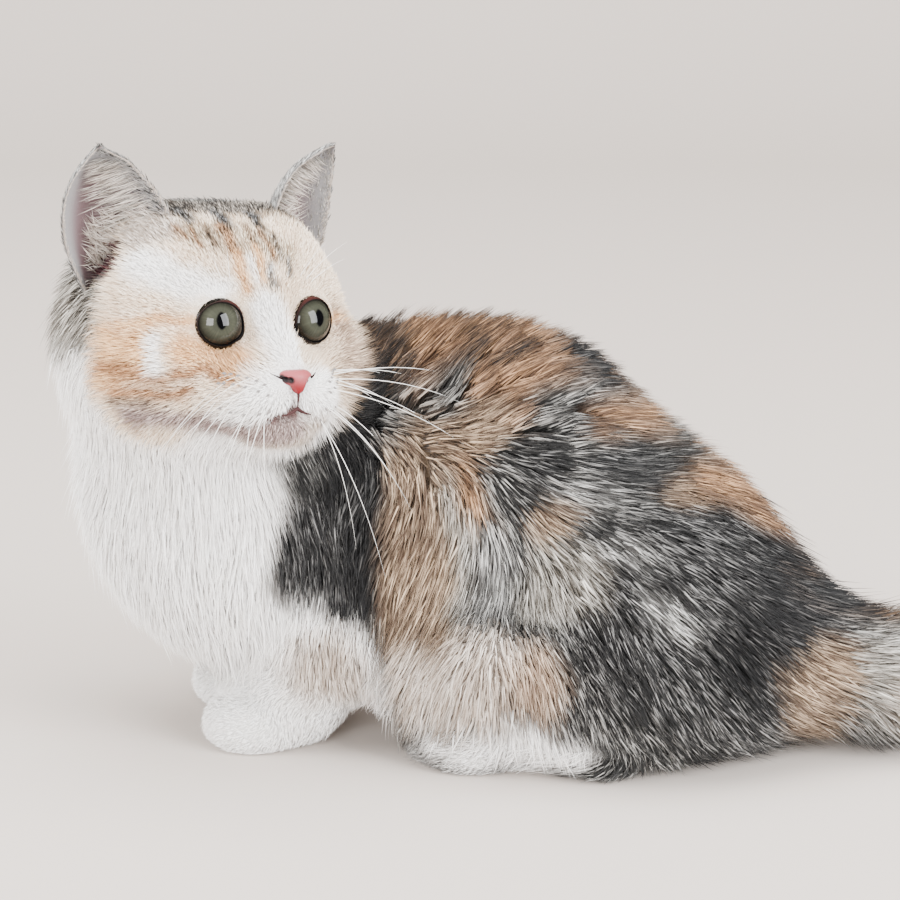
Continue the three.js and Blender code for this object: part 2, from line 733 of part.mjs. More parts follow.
// One ear: a sheet that curls round an open front, between an inner rim, a back and an outer rim
const EAR = {
  inner: [at(6, 15, 28), at(6, 20, 39), at(3, 30, 48), at(-2, 39.5, 53)],
  back: [at(-22, 22, 18), at(-21, 31, 35), at(-13, 37, 47), at(-5, 42, 54)],
  outer: [at(-14, 39, 10), at(-10, 46, 26), at(-6, 47.5, 40), at(-3.5, 43, 52)],
  thickness: 1.7,
  levels: 8,
  arcs: 7,
};
function ear(side) {
  const onSide = (points) => new THREE.CatmullRomCurve3(points.map((p) => at(p.x, side * p.y, p.z)));
  const [inner, back, outer] = [EAR.inner, EAR.back, EAR.outer].map(onSide);
  const section = (t) => {
    const [a, b, c] = [inner, back, outer].map((curve) => curve.getPoint(t));
    const pull = b.clone().multiplyScalar(2).addScaledVector(a.clone().add(c), -0.5);
    return new THREE.QuadraticBezierCurve3(a, pull, c);
  };
  const rings = Array.from({ length: EAR.levels }, (_, i) => {
    const t = i / (EAR.levels - 1);
    const here = section(t);
    const above = section(Math.min(1, t + 0.02));
    const below = section(Math.max(0, t - 0.02));
    const face = [];
    const lining = [];
    for (let j = 0; j < EAR.arcs; j += 1) {
      const u = j / (EAR.arcs - 1);
      const rise = above.getPoint(u).sub(below.getPoint(u));
      const normal = here.getTangent(u).cross(rise).normalize().multiplyScalar(side);
      face.push(here.getPoint(u));
      lining.unshift(here.getPoint(u).addScaledVector(normal, -EAR.thickness));
    }
    return [...face, ...lining];
  });
  return sheetSolid(rings);
}

// A closed piece from rings that run out along one face of a sheet and back along the other
function sheetSolid(rings) {
  const count = rings[0].length;
  const half = count / 2;
  const g = loft(rings);
  const side = (rings.length - 1) * count * 6;
  const index = Array.from(g.index.array.slice(0, side));
  for (const [base, turned] of [[0, true], [(rings.length - 1) * count, false]])
    for (let c = 0; c < half - 1; c += 1) {
      const quad = [base + c, base + c + 1, base + count - 2 - c, base + count - 1 - c];
      if (turned) quad.reverse();
      index.push(quad[0], quad[1], quad[2], quad[0], quad[2], quad[3]);
    }
  g.setIndex(index);
  return outward(g);
}

// Build the head and what it carries
const sides = { left: 1, right: -1 };
const nodes = {};
const headGrown = headShape(CELL.socket, SOCKET_GAP);
const bodyGrown = surface(bodyField, TIPS, at(-150, -80, 60), at(10, 90, 200), CELL.socket, SOCKET_GAP);
const bodyFromHead = solid(bodyGrown.applyMatrix4(headMatrix.clone().invert()));

const FACE_FROM = 2; // the face, ahead of this, has finer facets than the skull
const ahead = (x) => block(at(x, -90, -90), at(90, 90, 90));
const faceShape = headShape(CELL.face, 0).intersect(ahead(FACE_FROM - 0.05));
let head = headShape(CELL.skull, 0).subtract(ahead(FACE_FROM)).add(faceShape);
for (const side of [1, -1]) {
  const rim = lidRim(side, 0.7);
  head = head.add(outward(rope(rim, rim.map(() => 1.5), 5, true)));
  const lip = mouthLine(side, 0);
  head = head.add(outward(rope(lip, [1.2, 1.6, 1.5, 1.2, 0.9], 5)));
}
for (const side of [1, -1]) {
  head = head.subtract(eyeball(side, GAP));
  const line = mouthLine(side, 0.9);
  head = head.subtract(outward(rope(line, [0.9, 0.9, 0.8, 0.7, 0.5], 4)));
}
const groove = [MOUTH.top, at(43.6, 0, -19), MOUTH.split].map((p) => onFace(p.clone(), 0.6));
head = head.subtract(outward(rope(groove, [0.7, 0.8, 0.8, 0.8], 5)));
head = head.subtract(noseSolid(GAP));
nodes.head = { shape: largest(head), colour: 0xc9b39c };

let nose = noseSolid();
for (const side of [1, -1]) {
  const mouthOfNostril = [at(3.8, side * 3.2, 0), at(0.5, side * 2.4, -0.3), at(-1.5, side * 2.1, -0.4)]
    .map((p) => p.add(NOSE.place));
  nose = nose.subtract(outward(rope(mouthOfNostril, [1.3, 1.1, 0.8], 6)));
}
nodes.nose = { shape: largest(nose), colour: 0xc2888e };

for (const [name, side] of Object.entries(sides)) {
  nodes[`eye_${name}`] = { shape: eyeball(side), colour: 0x5d6650 };
  nodes[`ear_${name}`] = { shape: ear(side).subtract(headGrown).subtract(bodyFromHead), colour: 0x9e8e8e };
}
const inHead = Object.keys(nodes);

// Build the body: each node is its share of the core with its locks, cut to its zone
const headOut = solid(geometryOf(headGrown).applyMatrix4(headMatrix));
const floor = floorCut();
const cutAt = (x0, x1) => block(at(x0, -150, -5), at(x1, 150, 160));
const LOCKS = {
  tail: { along: 27, across: 15, length: 46, width: 18, thickness: 3 },
  foreleg: { along: 20, across: 15, length: 34, width: 19, thickness: 2.8 },
  hindleg: { along: 20, across: 15, length: 46, width: 21, thickness: 3 },
  neck: { along: 19, across: 13.5, length: 40, width: 19, thickness: 3 },
  chest: { along: 19, across: 14, length: 44, width: 20, thickness: 3 },
  torso: { along: 20, across: 14, length: 50, width: 22, thickness: 3.2 },
};
const offFloor = (p) => p.z > 6;

const tailCore = bodyPart(at(96, -60, -30), at(280, 80, 90), CELL.tail, CORE);
const tailNodes = {
  tail_base: [118, TAIL_CUTS[0], 0x4a4846],
  tail_middle: [TAIL_CUTS[0] + GAP, TAIL_CUTS[1], 0xa19186],
  tail_tip: [TAIL_CUTS[1] + GAP, 300, 0x8f8a86],
};
for (const [name, [from, to, colour]] of Object.entries(tailNodes)) {
  const zone = cutAt(from, to).subtract(floor);
  const allowed = (p) => offFloor(p) && p.x > from - 1 && p.x < to - 6;
  const shape = withLocks(tailCore, tailCore.intersect(zone), { ...LOCKS.tail, allowed });
  nodes[name] = { shape: shape.intersect(zone), colour };
}

const forelegs = legPart(at(-130, -90, -30), at(10, 100, 130), CELL.paw);
const hindlegs = legPart(at(-50, -90, -30), at(140, 100, 130), CELL.hindfoot);
for (const [name, side] of Object.entries(sides)) {
  const foreZone = forelegZone(side, 0).subtract(floor);
  const fore = withLocks(forelegs, forelegs.intersect(foreZone), {
    ...LOCKS.foreleg,
    allowed: (p) => p.z > 2 * FOOT_BELOW && side * (FRONT_MIDDLE - p.y) > 12,
  });
  nodes[`foreleg_${name}`] = { shape: fore.intersect(foreZone), colour: 0xdcdddd };

  const hindZone = hindlegZone(side, 0)
    .subtract(tailZone(GAP))
    .subtract(forelegZone(1, GAP))
    .subtract(forelegZone(-1, GAP))
    .subtract(floor);
  const hind = withLocks(hindlegs, hindlegs.intersect(hindZone), {
    ...LOCKS.hindleg,
    allowed: (p) => p.z > FOOT_BELOW && side * (REAR_MIDDLE - p.y) > 12,
  });
  nodes[`hindleg_${name}`] = { shape: hind.intersect(hindZone), colour: 0x4e4e4c };
}

const neckCore = bodyPart(at(-150, -70, 40), at(-20, 80, 190), CELL.neck, CORE);
const neckSpace = neckZone(0).subtract(headOut);
const neck = withLocks(neckCore, neckCore.intersect(neckSpace), LOCKS.neck);
nodes.neck = { shape: neck.intersect(neckSpace), colour: 0xd9d9da };

const CHEST_TO = -34; // where the chest ends and the torso begins
const trunk = bodyPart(at(-150, -80, -30), at(150, 90, 160), CELL.body, CORE);
let trunkOut = tailZone(GAP).add(neckZone(GAP)).add(headOut).add(floor);
for (const side of [1, -1]) trunkOut = trunkOut.add(hindlegZone(side, GAP)).add(forelegZone(side, GAP));
const trunkNodes = {
  chest: [-200, CHEST_TO, 0xd8d6d4],
  torso: [CHEST_TO + GAP, 118, 0xb39a80],
};
for (const [name, [from, to, colour]] of Object.entries(trunkNodes)) {
  const zone = cutAt(from, to).subtract(trunkOut);
  const shape = withLocks(trunk, largest(trunk.intersect(zone)), { ...LOCKS[name], allowed: offFloor });
  nodes[name] = { shape: shape.intersect(zone), colour };
}

// The scene graph
const kitten = new THREE.Group();
kitten.position.set(-MIDDLE_X, -MIDDLE_Y, 0);
const headGroup = new THREE.Group();
headGroup.applyMatrix4(headMatrix);
kitten.add(headGroup);
for (const [name, { shape, colour }] of Object.entries(nodes)) {
  const gloss = name.startsWith("eye") ? 0.1 : 0.85;
  const material = new THREE.MeshStandardMaterial({ color: colour, roughness: gloss, metalness: 0 });
  const shortest = SHORTEST[inHead.includes(name) ? "head" : "body"];
  const whole = solid(mergeVertices(tidied(largest(shape), shortest), 1e-3));
  const mesh = new THREE.Mesh(geometryOf(largest(whole)), material);
  mesh.name = name;
  (inHead.includes(name) ? headGroup : kitten).add(mesh);
}
const part = new THREE.Group();
part.add(kitten);

export default part;
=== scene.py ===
# A munchkin kitten crouched on its haunches, dressed in its semi-long tricolour coat.
# Sizes are in millimetres in the body's own frame: +X towards the tail, +Y to its right, +Z up.
import math
import bmesh
import bpy
import numpy as np
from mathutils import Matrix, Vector
from mathutils.kdtree import KDTree


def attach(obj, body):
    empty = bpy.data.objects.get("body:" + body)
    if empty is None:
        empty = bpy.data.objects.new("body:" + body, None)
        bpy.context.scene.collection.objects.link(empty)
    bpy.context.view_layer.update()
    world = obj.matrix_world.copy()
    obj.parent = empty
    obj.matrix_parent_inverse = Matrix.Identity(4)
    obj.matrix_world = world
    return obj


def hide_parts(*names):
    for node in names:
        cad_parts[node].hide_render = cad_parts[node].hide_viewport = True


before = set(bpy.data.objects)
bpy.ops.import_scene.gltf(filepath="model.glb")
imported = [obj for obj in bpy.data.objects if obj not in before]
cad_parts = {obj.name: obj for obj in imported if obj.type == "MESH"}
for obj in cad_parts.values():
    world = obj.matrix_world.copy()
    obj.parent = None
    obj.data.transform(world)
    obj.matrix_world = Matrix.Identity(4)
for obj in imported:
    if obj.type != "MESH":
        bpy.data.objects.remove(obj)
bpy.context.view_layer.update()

# The body's frame in the model's: millimetres, with the middle of the box taken to the origin
MM = 0.001
MIDDLE = np.array([62.8, 9.4, 0.0])
SEED = 20
rng = np.random.default_rng(SEED)

# Depth of the coat over each region, from the skin to the tips
COAT = {
    "back": 12,
    "ruff": 14,
    "flank": 12,
    "thigh": 11,
    "foreleg": 4,
    "paw": 2,
    "tail": 15,
    "face": 2.5,
    "cheek": 4,
}

# Widths over which forms blend into each other
BLEND = {"torso": 16, "leg": 8, "tail": 10, "head": 8, "neck": 12, "socket": 3, "nose": 2.5, "nostril": 0.5}


def at(*place):
    return np.array(place, dtype=float)


def unit(v):
    return v / np.maximum(np.linalg.norm(v, axis=-1, keepdims=True), 1e-9)


def ramp(low, high, x):
    t = np.clip((np.asarray(x) - low) / (high - low), 0, 1)
    return t * t * (3 - 2 * t)


def mix(a, b, t):
    t = np.asarray(t)
    if np.ndim(a) > np.ndim(t) or np.ndim(b) > np.ndim(t):
        t = t[..., None]
    return a * (1 - t) + b * t


def turn(axis, degrees):
    c = math.cos(math.radians(degrees))
    s = math.sin(math.radians(degrees))
    if axis == "X":
        return np.array([[1, 0, 0], [0, c, -s], [0, s, c]])
    if axis == "Y":
        return np.array([[c, 0, s], [0, 1, 0], [-s, 0, c]])
    return np.array([[c, -s, 0], [s, c, 0], [0, 0, 1]])


def pairs(row):
    """Each item of a row with the next one."""
    return list(zip(row, row[1:]))


# Smooth noise from -1 to 1: a seeded list of values, spread over a lattice by large factors
LATTICE = np.random.default_rng(SEED + 1).uniform(-1, 1, 8192)
CELL_FACTORS = (73856093, 19349663, 83492791)
KEY_FACTOR = 2654435
NOISE_OFFSET = 50


def noise(p, size, key=0):
    q = p / size + NOISE_OFFSET
    cell = np.floor(q).astype(np.int64)
    f = q - cell
    f = f * f * (3 - 2 * f)
    total = np.zeros(len(p))
    for corner in np.ndindex(2, 2, 2):
        mixed = (cell + corner) * CELL_FACTORS
        spot = mixed[:, 0] ^ mixed[:, 1] ^ mixed[:, 2] ^ (key * KEY_FACTOR)
        share = np.prod(np.where(corner, f, 1 - f), axis=1)
        total += share * LATTICE[spot % len(LATTICE)]
    return total


# Forms: each gives the distance of points to its surface, in a layer of the coat from 0, the
# skin, to 1, the tips
def ball(centre, radii, coat=0, yaw=0, tilt=0):
    axes = turn("Z", yaw) @ turn("Y", tilt)

    def distance(p, layer):
        r = radii + layer * coat
        local = (p - centre) @ axes / r
        reach = np.sqrt((local * local).sum(1))
        slope = np.sqrt(((local / r) ** 2).sum(1))
        return reach * (reach - 1) / np.maximum(slope, 1e-9)

    return distance


def rod(start, end, start_radius, end_radius, coat=0):
    way = end - start

    def distance(p, layer):
        d = p - start
        t = np.clip(d @ way / (way @ way), 0, 1)
        gap = np.linalg.norm(d - t[:, None] * way, axis=1)
        return gap - (start_radius + (end_radius - start_radius) * t) - layer * coat

    return distance


def blend(forms, width):
    def distance(p, layer):
        d = forms[0](p, layer)
        for form in forms[1:]:
            e = form(p, layer)
            h = np.maximum(width - np.abs(d - e), 0) / width
            d = np.minimum(d, e) - h * h * width / 4
        return d

    return distance


def carve(form, hollows, width):
    def distance(p, layer):
        d = form(p, layer)
        for hollow in hollows:
            e = -hollow(p, 0)
            h = np.maximum(width - np.abs(d - e), 0) / width
            d = np.maximum(d, e) + h * h * width / 4
        return d

    return distance


# Torso and neck
torso_forms = [
    ball(at(-74, 21, 80), at(33.5, 30, 37), COAT["ruff"]),
    ball(at(-62, 20, 60), at(28, 28, 29), COAT["ruff"]),
    ball(at(-18, 18, 80), at(47, 30, 41), COAT["back"]),
    ball(at(15, 12, 80), at(42, 33, 43), COAT["back"]),
    ball(at(4, 0, 30), at(20, 23, 27), COAT["flank"]),
    ball(at(56, 4, 53), at(41, 36, 38), COAT["back"]),
    ball(at(90, -1, 33), at(23, 27, 24), COAT["back"]),
    rod(at(-60, 20, 84), at(-80, 8, 124), 28, 28, COAT["ruff"]),
    ball(at(-95, 5, 134), at(14, 18, 17), COAT["ruff"]),
]


def paw(centre, radii, yaw, toe_reach, toe_size):
    ahead = turn("Z", yaw) @ at(1, 0, 0)
    side = at(-ahead[1], ahead[0], 0)
    forms = [ball(centre, radii, COAT["paw"], yaw)]
    for place in (-1.5, -0.5, 0.5, 1.5):
        reach = toe_reach - (toe_size * 0.7 if abs(place) > 1 else 0)
        toe = centre + ahead * reach + side * place * toe_size * 1.25
        toe[2] = toe_size
        forms.append(ball(toe, toe_size * at(1.5, 0.82, 1), COAT["paw"], yaw))
    return forms


# Legs: side is +1 on the kitten's left and -1 on its right
FRONT_MIDDLE = 23
REAR_MIDDLE = 3


def foreleg(side):
    stride = 0 if side > 0 else 6
    shoulder = at(-42, FRONT_MIDDLE - side * 23, 64)
    elbow = at(-36, FRONT_MIDDLE - side * 25, 42)
    wrist = at(-46 - stride, FRONT_MIDDLE - side * (21 if side > 0 else 24), 20)
    toes = at(-55 - stride, FRONT_MIDDLE - side * (18 if side > 0 else 24), 9)
    limb = [
        rod(shoulder, elbow, 13, 12, COAT["flank"]),
        rod(elbow, wrist, 15, 12.5, COAT["foreleg"]),
    ]
    foot = [
        rod(wrist, toes, 12.5, 9, COAT["paw"]),
        *paw(toes, at(17, 12.5, 9), 182, 12, 6),
    ]
    return limb, foot


def hindleg(side):
    stride = 0 if side > 0 else 8
    thigh = at(60, REAR_MIDDLE - side * 23, 40)
    knee = at(18, REAR_MIDDLE - side * 27, 36)
    heel = at(48, REAR_MIDDLE - side * 27, 10)
    toes = at(10 + stride, REAR_MIDDLE - side * 17, 9)
    limb = [
        ball(thigh, at(33, 17, 33), COAT["thigh"], -8),
        rod(thigh, knee, 21, 12, COAT["thigh"]),
        rod(knee, heel, 12, 7, COAT["thigh"]),
    ]
    foot = [
        rod(heel, toes, 9.5, 9, COAT["foreleg"]),
        *paw(toes, at(15, 12, 8.5), 184, 7, 5.6),
    ]
    return limb, foot


# Tail, along the floor behind the rump
TAIL_PLACES = np.array([[100, -2, 34], [140, -1, 21.5], [172, 4, 21.5], [203, 14, 20], [228, 28, 17.0]])
TAIL_RADII = [11, 7.5, 7, 5.5, 3]
tail_forms = [
    rod(*places, *radii, COAT["tail"]) for places, radii in zip(pairs(TAIL_PLACES), pairs(TAIL_RADII))
]

legs = {(kind.__name__, side): kind(side) for kind in (foreleg, hindleg) for side in (1, -1)}
body_field = blend(
    [
        blend(torso_forms, BLEND["torso"]),
        *(blend(limb + foot, BLEND["leg"]) for limb, foot in legs.values()),
        blend(tail_forms, BLEND["tail"]),
    ],
    BLEND["tail"],
)
fore_feet = blend([form for key, (limb, foot) in legs.items() if key[0] == "foreleg" for form in foot], 1)
hind_feet = blend([form for key, (limb, foot) in legs.items() if key[0] == "hindleg" for form in foot], 1)
fore_limbs = blend([legs["foreleg", side][0][1] for side in (1, -1)], 1)

# Head, in its own frame: +X forward, +Y to the kitten's left, +Z up
HEAD = {"centre": at(-71, -5, 137), "yaw": 307, "pitch": 7, "roll": -6.2}
HEAD_AXES = turn("Z", HEAD["yaw"]) @ turn("Y", -HEAD["pitch"]) @ turn("X", HEAD["roll"])
EYE = {
    "place": at(21.3, 15.6, 2.5),
    "radius": 9.4,
    "outward": 11,
    "width": 7.2,
    "height": 6.4,
    "gaze": -5.5,
    "gaze_rise": 0.11,
}
MOUTH = {
    "groove": [at(44.5, 0, -15.5), at(43.8, 0, -19), at(43, 0, -22)],
    "lip": [at(43, 0, -21.8), at(42.4, 1.8, -22.8), at(41.7, 3.6, -23.2), at(40.7, 5.4, -23.2)],
    # The last run is painted shade: a dark line in the groove beside each nostril
    "wing": [at(42.6, 5.3, -13.0), at(41.5, 6.5, -12.7), at(40.1, 7.8, -12.3)],
}
MOUTH_HOLLOW = 1.3  # radius of the hollow that the mouth line lies in


def to_head(p):
    return (p - HEAD["centre"]) @ HEAD_AXES


def from_head(p):
    return p @ HEAD_AXES.T + HEAD["centre"]


def mirrored(place, side):
    return place * at(1, side, 1)


def eye_axes(side, gaze=0, rise=0):
    look = unit(turn("Z", side * EYE["outward"] + gaze) @ at(1, 0, 0.03 + rise))
    across = unit(np.cross(at(0, 0, 1), look))
    return look, across, np.cross(look, across)


def eye_centre(side):
    return mirrored(EYE["place"], side)


# The hollow of a socket, the dish round it, the inner corner of an eye and the bare fold over it
SOCKET = {"depth": 7.6, "inset": 0.4}
DISH = {"radius": 18, "ahead": 22.6, "inward": 1.6, "down": 1.0}
CANTHUS = {"below": 27, "half": 15, "opening": 0.08, "rim": 0.28, "reach": 1.12, "radii": at(4, 1.9, 1.7)}
LID_FOLD = {"above": {1: 82, -1: 56}, "half": 36, "rim": 0.12}
BEHIND_EYE = 9  # the share that stands for places behind an eye


def sockets(side):
    """The hollow that an eye shows through, in a wide dish that is deeper towards the nose."""
    look, across, up = eye_axes(side)
    opening = at(SOCKET["depth"], EYE["width"], EYE["height"])
    front = eye_centre(side) + look * (EYE["radius"] - SOCKET["inset"])
    hollow = ball(front, opening, 0, side * EYE["outward"])
    middle = eye_centre(side) + look * DISH["ahead"] - across * side * DISH["inward"] - up * DISH["down"]
    below = math.radians(CANTHUS["below"])
    aside, drop = EYE["width"] * math.cos(below), EYE["height"] * math.sin(below)
    corner = eye_centre(side) + look * EYE["radius"] - CANTHUS["reach"] * (across * side * aside + up * drop)
    return [hollow, ball(middle, DISH["radius"] * at(1, 1, 1)), ball(corner, CANTHUS["radii"])]


def lid_reach(side, angle):
    """How much further an eye's opening and its bare rim reach at angles round it, as shares."""
    def bump(degrees, half):
        middle = math.radians(180 - degrees if side > 0 else degrees)
        gap = (angle - middle + math.pi) % (2 * math.pi) - math.pi
        return np.exp(-((gap / math.radians(half)) ** 2))

    corner = bump(-CANTHUS["below"], CANTHUS["half"])
    fold = bump(LID_FOLD["above"][side], LID_FOLD["half"])
    return CANTHUS["opening"] * corner, CANTHUS["rim"] * corner + LID_FOLD["rim"] * fold, fold


def rim_share(p, side):
    """How far a place of the head lies from the middle of an eye, of the way to its opening, less its rim."""
    look, across, up = eye_axes(side)
    away = p - eye_centre(side)
    aside, above = away @ across / EYE["width"], away @ up / EYE["height"]
    share = np.hypot(aside, above) - lid_reach(side, np.arctan2(above, aside))[1]
    return np.where(away @ look > 0, share, BEHIND_EYE)


def both_sides(centre, radii, coat):
    return [ball(mirrored(centre, side), radii, coat) for side in (1, -1)]


head_forms = [
    ball(at(-8, 0, 8), at(36, 32, 28), COAT["face"]),
    ball(at(8, 0, 8), at(15, 37, 19), COAT["face"]),
    *both_sides(at(-4, 17, 17), at(20, 14, 18), COAT["face"]),
    *both_sides(at(14, 18.5, -9), at(15, 13, 12), COAT["face"]),
    *both_sides(at(4, 22.5, -12), at(21, 15, 17), COAT["cheek"]),
    ball(at(8, 0, -21), at(23, 18, 11), COAT["cheek"]),
    *both_sides(at(19, 12.5, -18), at(13, 11, 10), COAT["face"]),
    rod(at(19, 0, 5), at(36, 0, -10), 9, 5.5, COAT["face"]),
    *both_sides(at(33.5, 7.5, -18.5), at(9.5, 9.5, 7.5), COAT["face"]),
    ball(at(32, 0, -27), at(8, 8.5, 5.5), COAT["face"]),
]
orbits = both_sides(EYE["place"], at(1, 1, 1) * (EYE["radius"] + 0.7), 1)
head_field = blend([blend(head_forms, BLEND["head"]), *orbits], BLEND["socket"])


# Knots of the left nostril, its radii at them, and the groove down the middle of the nose
NOSTRIL = [at(44.5, 3.2, -13.4), at(43.7, 4.1, -13.3), at(42.7, 5.1, -12.9), at(41.6, 6.0, -12.6)]
NOSTRIL_RADII = [1.0, 0.85, 0.6, 0.4]
NOSE_GROOVE = rod(at(46.7, 0, -13.2), at(46.0, 0, -17.4), 0.3, 0.4)


def nostril(side):
    return [mirrored(place, side) for place in NOSTRIL]


def nose_field(p, layer=0):
    """The leather of the nose, with a comma of a nostril on each side and a groove down its middle."""
    forms = [
        ball(at(43.2, 0, -12.3), at(3.2, 4.0, 1.9)),
        ball(at(43.8, 0, -14.8), at(2.7, 1.8, 2.8)),
        *both_sides(at(41.7, 3.5, -12.7), at(2.6, 1.6, 1.7), 0),
    ]
    hollows = [NOSE_GROOVE]
    for side in (1, -1):
        for knots, radii in zip(pairs(nostril(side)), pairs(NOSTRIL_RADII)):
            hollows.append(rod(*knots, *radii))
    return carve(blend(forms, BLEND["nose"]), hollows, BLEND["nostril"])(p, layer)


def mouth_rods():
    """The hollow of the mouth, along its groove and both halves of its lip."""
    runs = [MOUTH["groove"]]
    for side in (1, -1):
        runs.append([mirrored(place, side) for place in MOUTH["lip"]])
    return [rod(a, b, MOUTH_HOLLOW, MOUTH_HOLLOW) for run in runs for a, b in pairs(run)]


def coat_field(p, layer):
    return blend([body_field, lambda q, m: head_field(to_head(q), m)], BLEND["neck"])(p, layer)


EAR_HOLLOW = {"place": at(-9.5, 32, 18), "radii": at(8, 7.5, 8.5)}
ear_cups = both_sides(EAR_HOLLOW["place"], EAR_HOLLOW["radii"], 0)
face_hollows = [*sockets(1), *sockets(-1), *mouth_rods(), *ear_cups]


def from_ear_hollow(q):
    return np.minimum(*(cup(q, 0) for cup in ear_cups))


def skin_field(p, layer=0):
    hollows = [lambda q, m, h=h: h(to_head(q), m) for h in face_hollows]
    return carve(coat_field, hollows, BLEND["socket"])(p, layer)


# The four corners round a point from which a field's value and slope are read
TETRA = np.array([[1, 1, 1], [1, -1, -1], [-1, 1, -1], [-1, -1, 1.0]])
LEAST_SLOPE = 0.2  # keeps a step short where a field is nearly level


def slope(field, p, layer=0, step=0.3):
    values = [field(p + step * corner, layer) for corner in TETRA]
    gradient = sum(v[:, None] * corner for v, corner in zip(values, TETRA)) / (4 * step)
    return np.mean(values, axis=0), gradient


def settle(field, p, layer=0, turns=2):
    for _ in range(turns):
        d, g = slope(field, p, layer)
        p = p - g * (d / np.maximum((g * g).sum(1), LEAST_SLOPE))[:, None]
    return p


# Skin: a net of squares over the surface where the field is nil, on a grid that is finer at the face
def graded(low, high, coarse, fine_low, fine_high, fine):
    parts = [
        np.linspace(low, fine_low, max(2, round((fine_low - low) / coarse)), endpoint=False),
        np.linspace(fine_low, fine_high, max(2, round((fine_high - fine_low) / fine)), endpoint=False),
        np.linspace(fine_high, high, max(2, round((high - fine_high) / coarse)) + 1),
    ]
    return np.concatenate(parts)


SKIP = 5  # cells from one point of the first, coarse look to the next
PORTION = 200000  # points worked out at once


def near_values(field, lines, band):
    """The field on a grid, worked out only near its surface."""
    shape = tuple(len(line) for line in lines)
    coarse_lines = [np.append(line[::SKIP], line[-1]) for line in lines]
    grid = np.stack(np.meshgrid(*coarse_lines, indexing="ij"), -1)
    coarse = field(grid.reshape(-1, 3)).reshape(grid.shape[:3])
    index = [np.minimum(np.round(np.arange(n) / SKIP).astype(int), len(c) - 1)
             for n, c in zip(shape, coarse_lines)]
    values = coarse[np.ix_(*index)]
    near = np.abs(values) < band
    spots = np.nonzero(near)
    points = np.stack([line[i] for line, i in zip(lines, spots)], -1)
    portions = np.array_split(points, len(points) // PORTION + 1)
    values[spots] = np.concatenate([field(portion) for portion in portions])
    return values


def surface_net(field, lines, band):
    """Points and squares of the surface where a field is nil: one point in each cell that it cuts."""
    values = near_values(field, lines, band)
    inside = values < 0
    n = np.array(values.shape)
    corners = list(np.ndindex(2, 2, 2))
    cut = [inside[a:n[0] - 1 + a, b:n[1] - 1 + b, c:n[2] - 1 + c] for a, b, c in corners]
    count = sum(part.astype(int) for part in cut)
    cells = np.argwhere((count > 0) & (count < 8))
    number = np.full(n - 1, -1)
    number[tuple(cells.T)] = np.arange(len(cells))
    total = np.zeros((len(cells), 3))
    crossings = np.zeros(len(cells))
    places = np.array(corners, dtype=float)
    for i, a in enumerate(corners):
        for j, b in enumerate(corners):
            if j < i or sum(abs(u - v) for u, v in zip(a, b)) != 1:
                continue
            va = values[tuple((cells + a).T)]
            vb = values[tuple((cells + b).T)]
            crossed = (va < 0) != (vb < 0)
            t = np.where(crossed, va / np.where(crossed, va - vb, 1), 0)
            total += np.where(crossed[:, None], places[i] + (places[j] - places[i]) * t[:, None], 0)
            crossings += crossed
    local = total / crossings[:, None]
    points = np.stack(
        [line[cells[:, k]] + local[:, k] * (line[cells[:, k] + 1] - line[cells[:, k]])
         for k, line in enumerate(lines)],
        -1,
    )
    faces = []
    for axis in range(3):
        step = np.eye(3, dtype=int)[axis]
        first = inside[: n[0] - step[0], : n[1] - step[1], : n[2] - step[2]]
        second = inside[step[0]:, step[1]:, step[2]:]
        spots = np.argwhere(first != second)
        b, c = np.eye(3, dtype=int)[(axis + 1) % 3], np.eye(3, dtype=int)[(axis + 2) % 3]
        turns = ((1, 1), (0, 1), (0, 0), (1, 0))
        quad = np.stack([number[tuple((spots - u * b - v * c).T)] for u, v in turns], -1)
        outward = first[tuple(spots.T)]
        quad[~outward] = quad[~outward][:, ::-1]
        faces.append(quad)
    return points, np.concatenate(faces)


# Objects
def placed(name, data):
    obj = bpy.data.objects.new(name, data)
    bpy.context.scene.collection.objects.link(obj)
    return obj


def new_object(name, points, faces, material):
    """A smooth mesh from points in the body's frame."""
    mesh = bpy.data.meshes.new(name)
    if isinstance(faces, np.ndarray):
        faces = faces.tolist()
    mesh.from_pydata((np.asarray(points) - MIDDLE) * MM, [], faces)
    mesh.validate()
    mesh.polygons.foreach_set("use_smooth", [True] * len(mesh.polygons))
    mesh.materials.append(material)
    return placed(name, mesh)


def add_colours(mesh, name, colours):
    attribute = mesh.attributes.new(name, "FLOAT_COLOR", "POINT")
    rgba = np.ones((len(colours), 4), dtype=np.float32)
    rgba[:, :3] = colours
    attribute.data.foreach_set("color", rgba.ravel())


# Kinds of coat, and of painted shade on it: a pale and a dark shade, how much of it is dark, and how far
# single tufts differ
def shade(red, green, blue):
    """A colour as it looks, from 0 to 255, as the linear light that shaders take."""
    s = np.array([red, green, blue]) / 255
    return np.where(s <= 0.04045, s / 12.92, ((s + 0.055) / 1.055) ** 2.4)


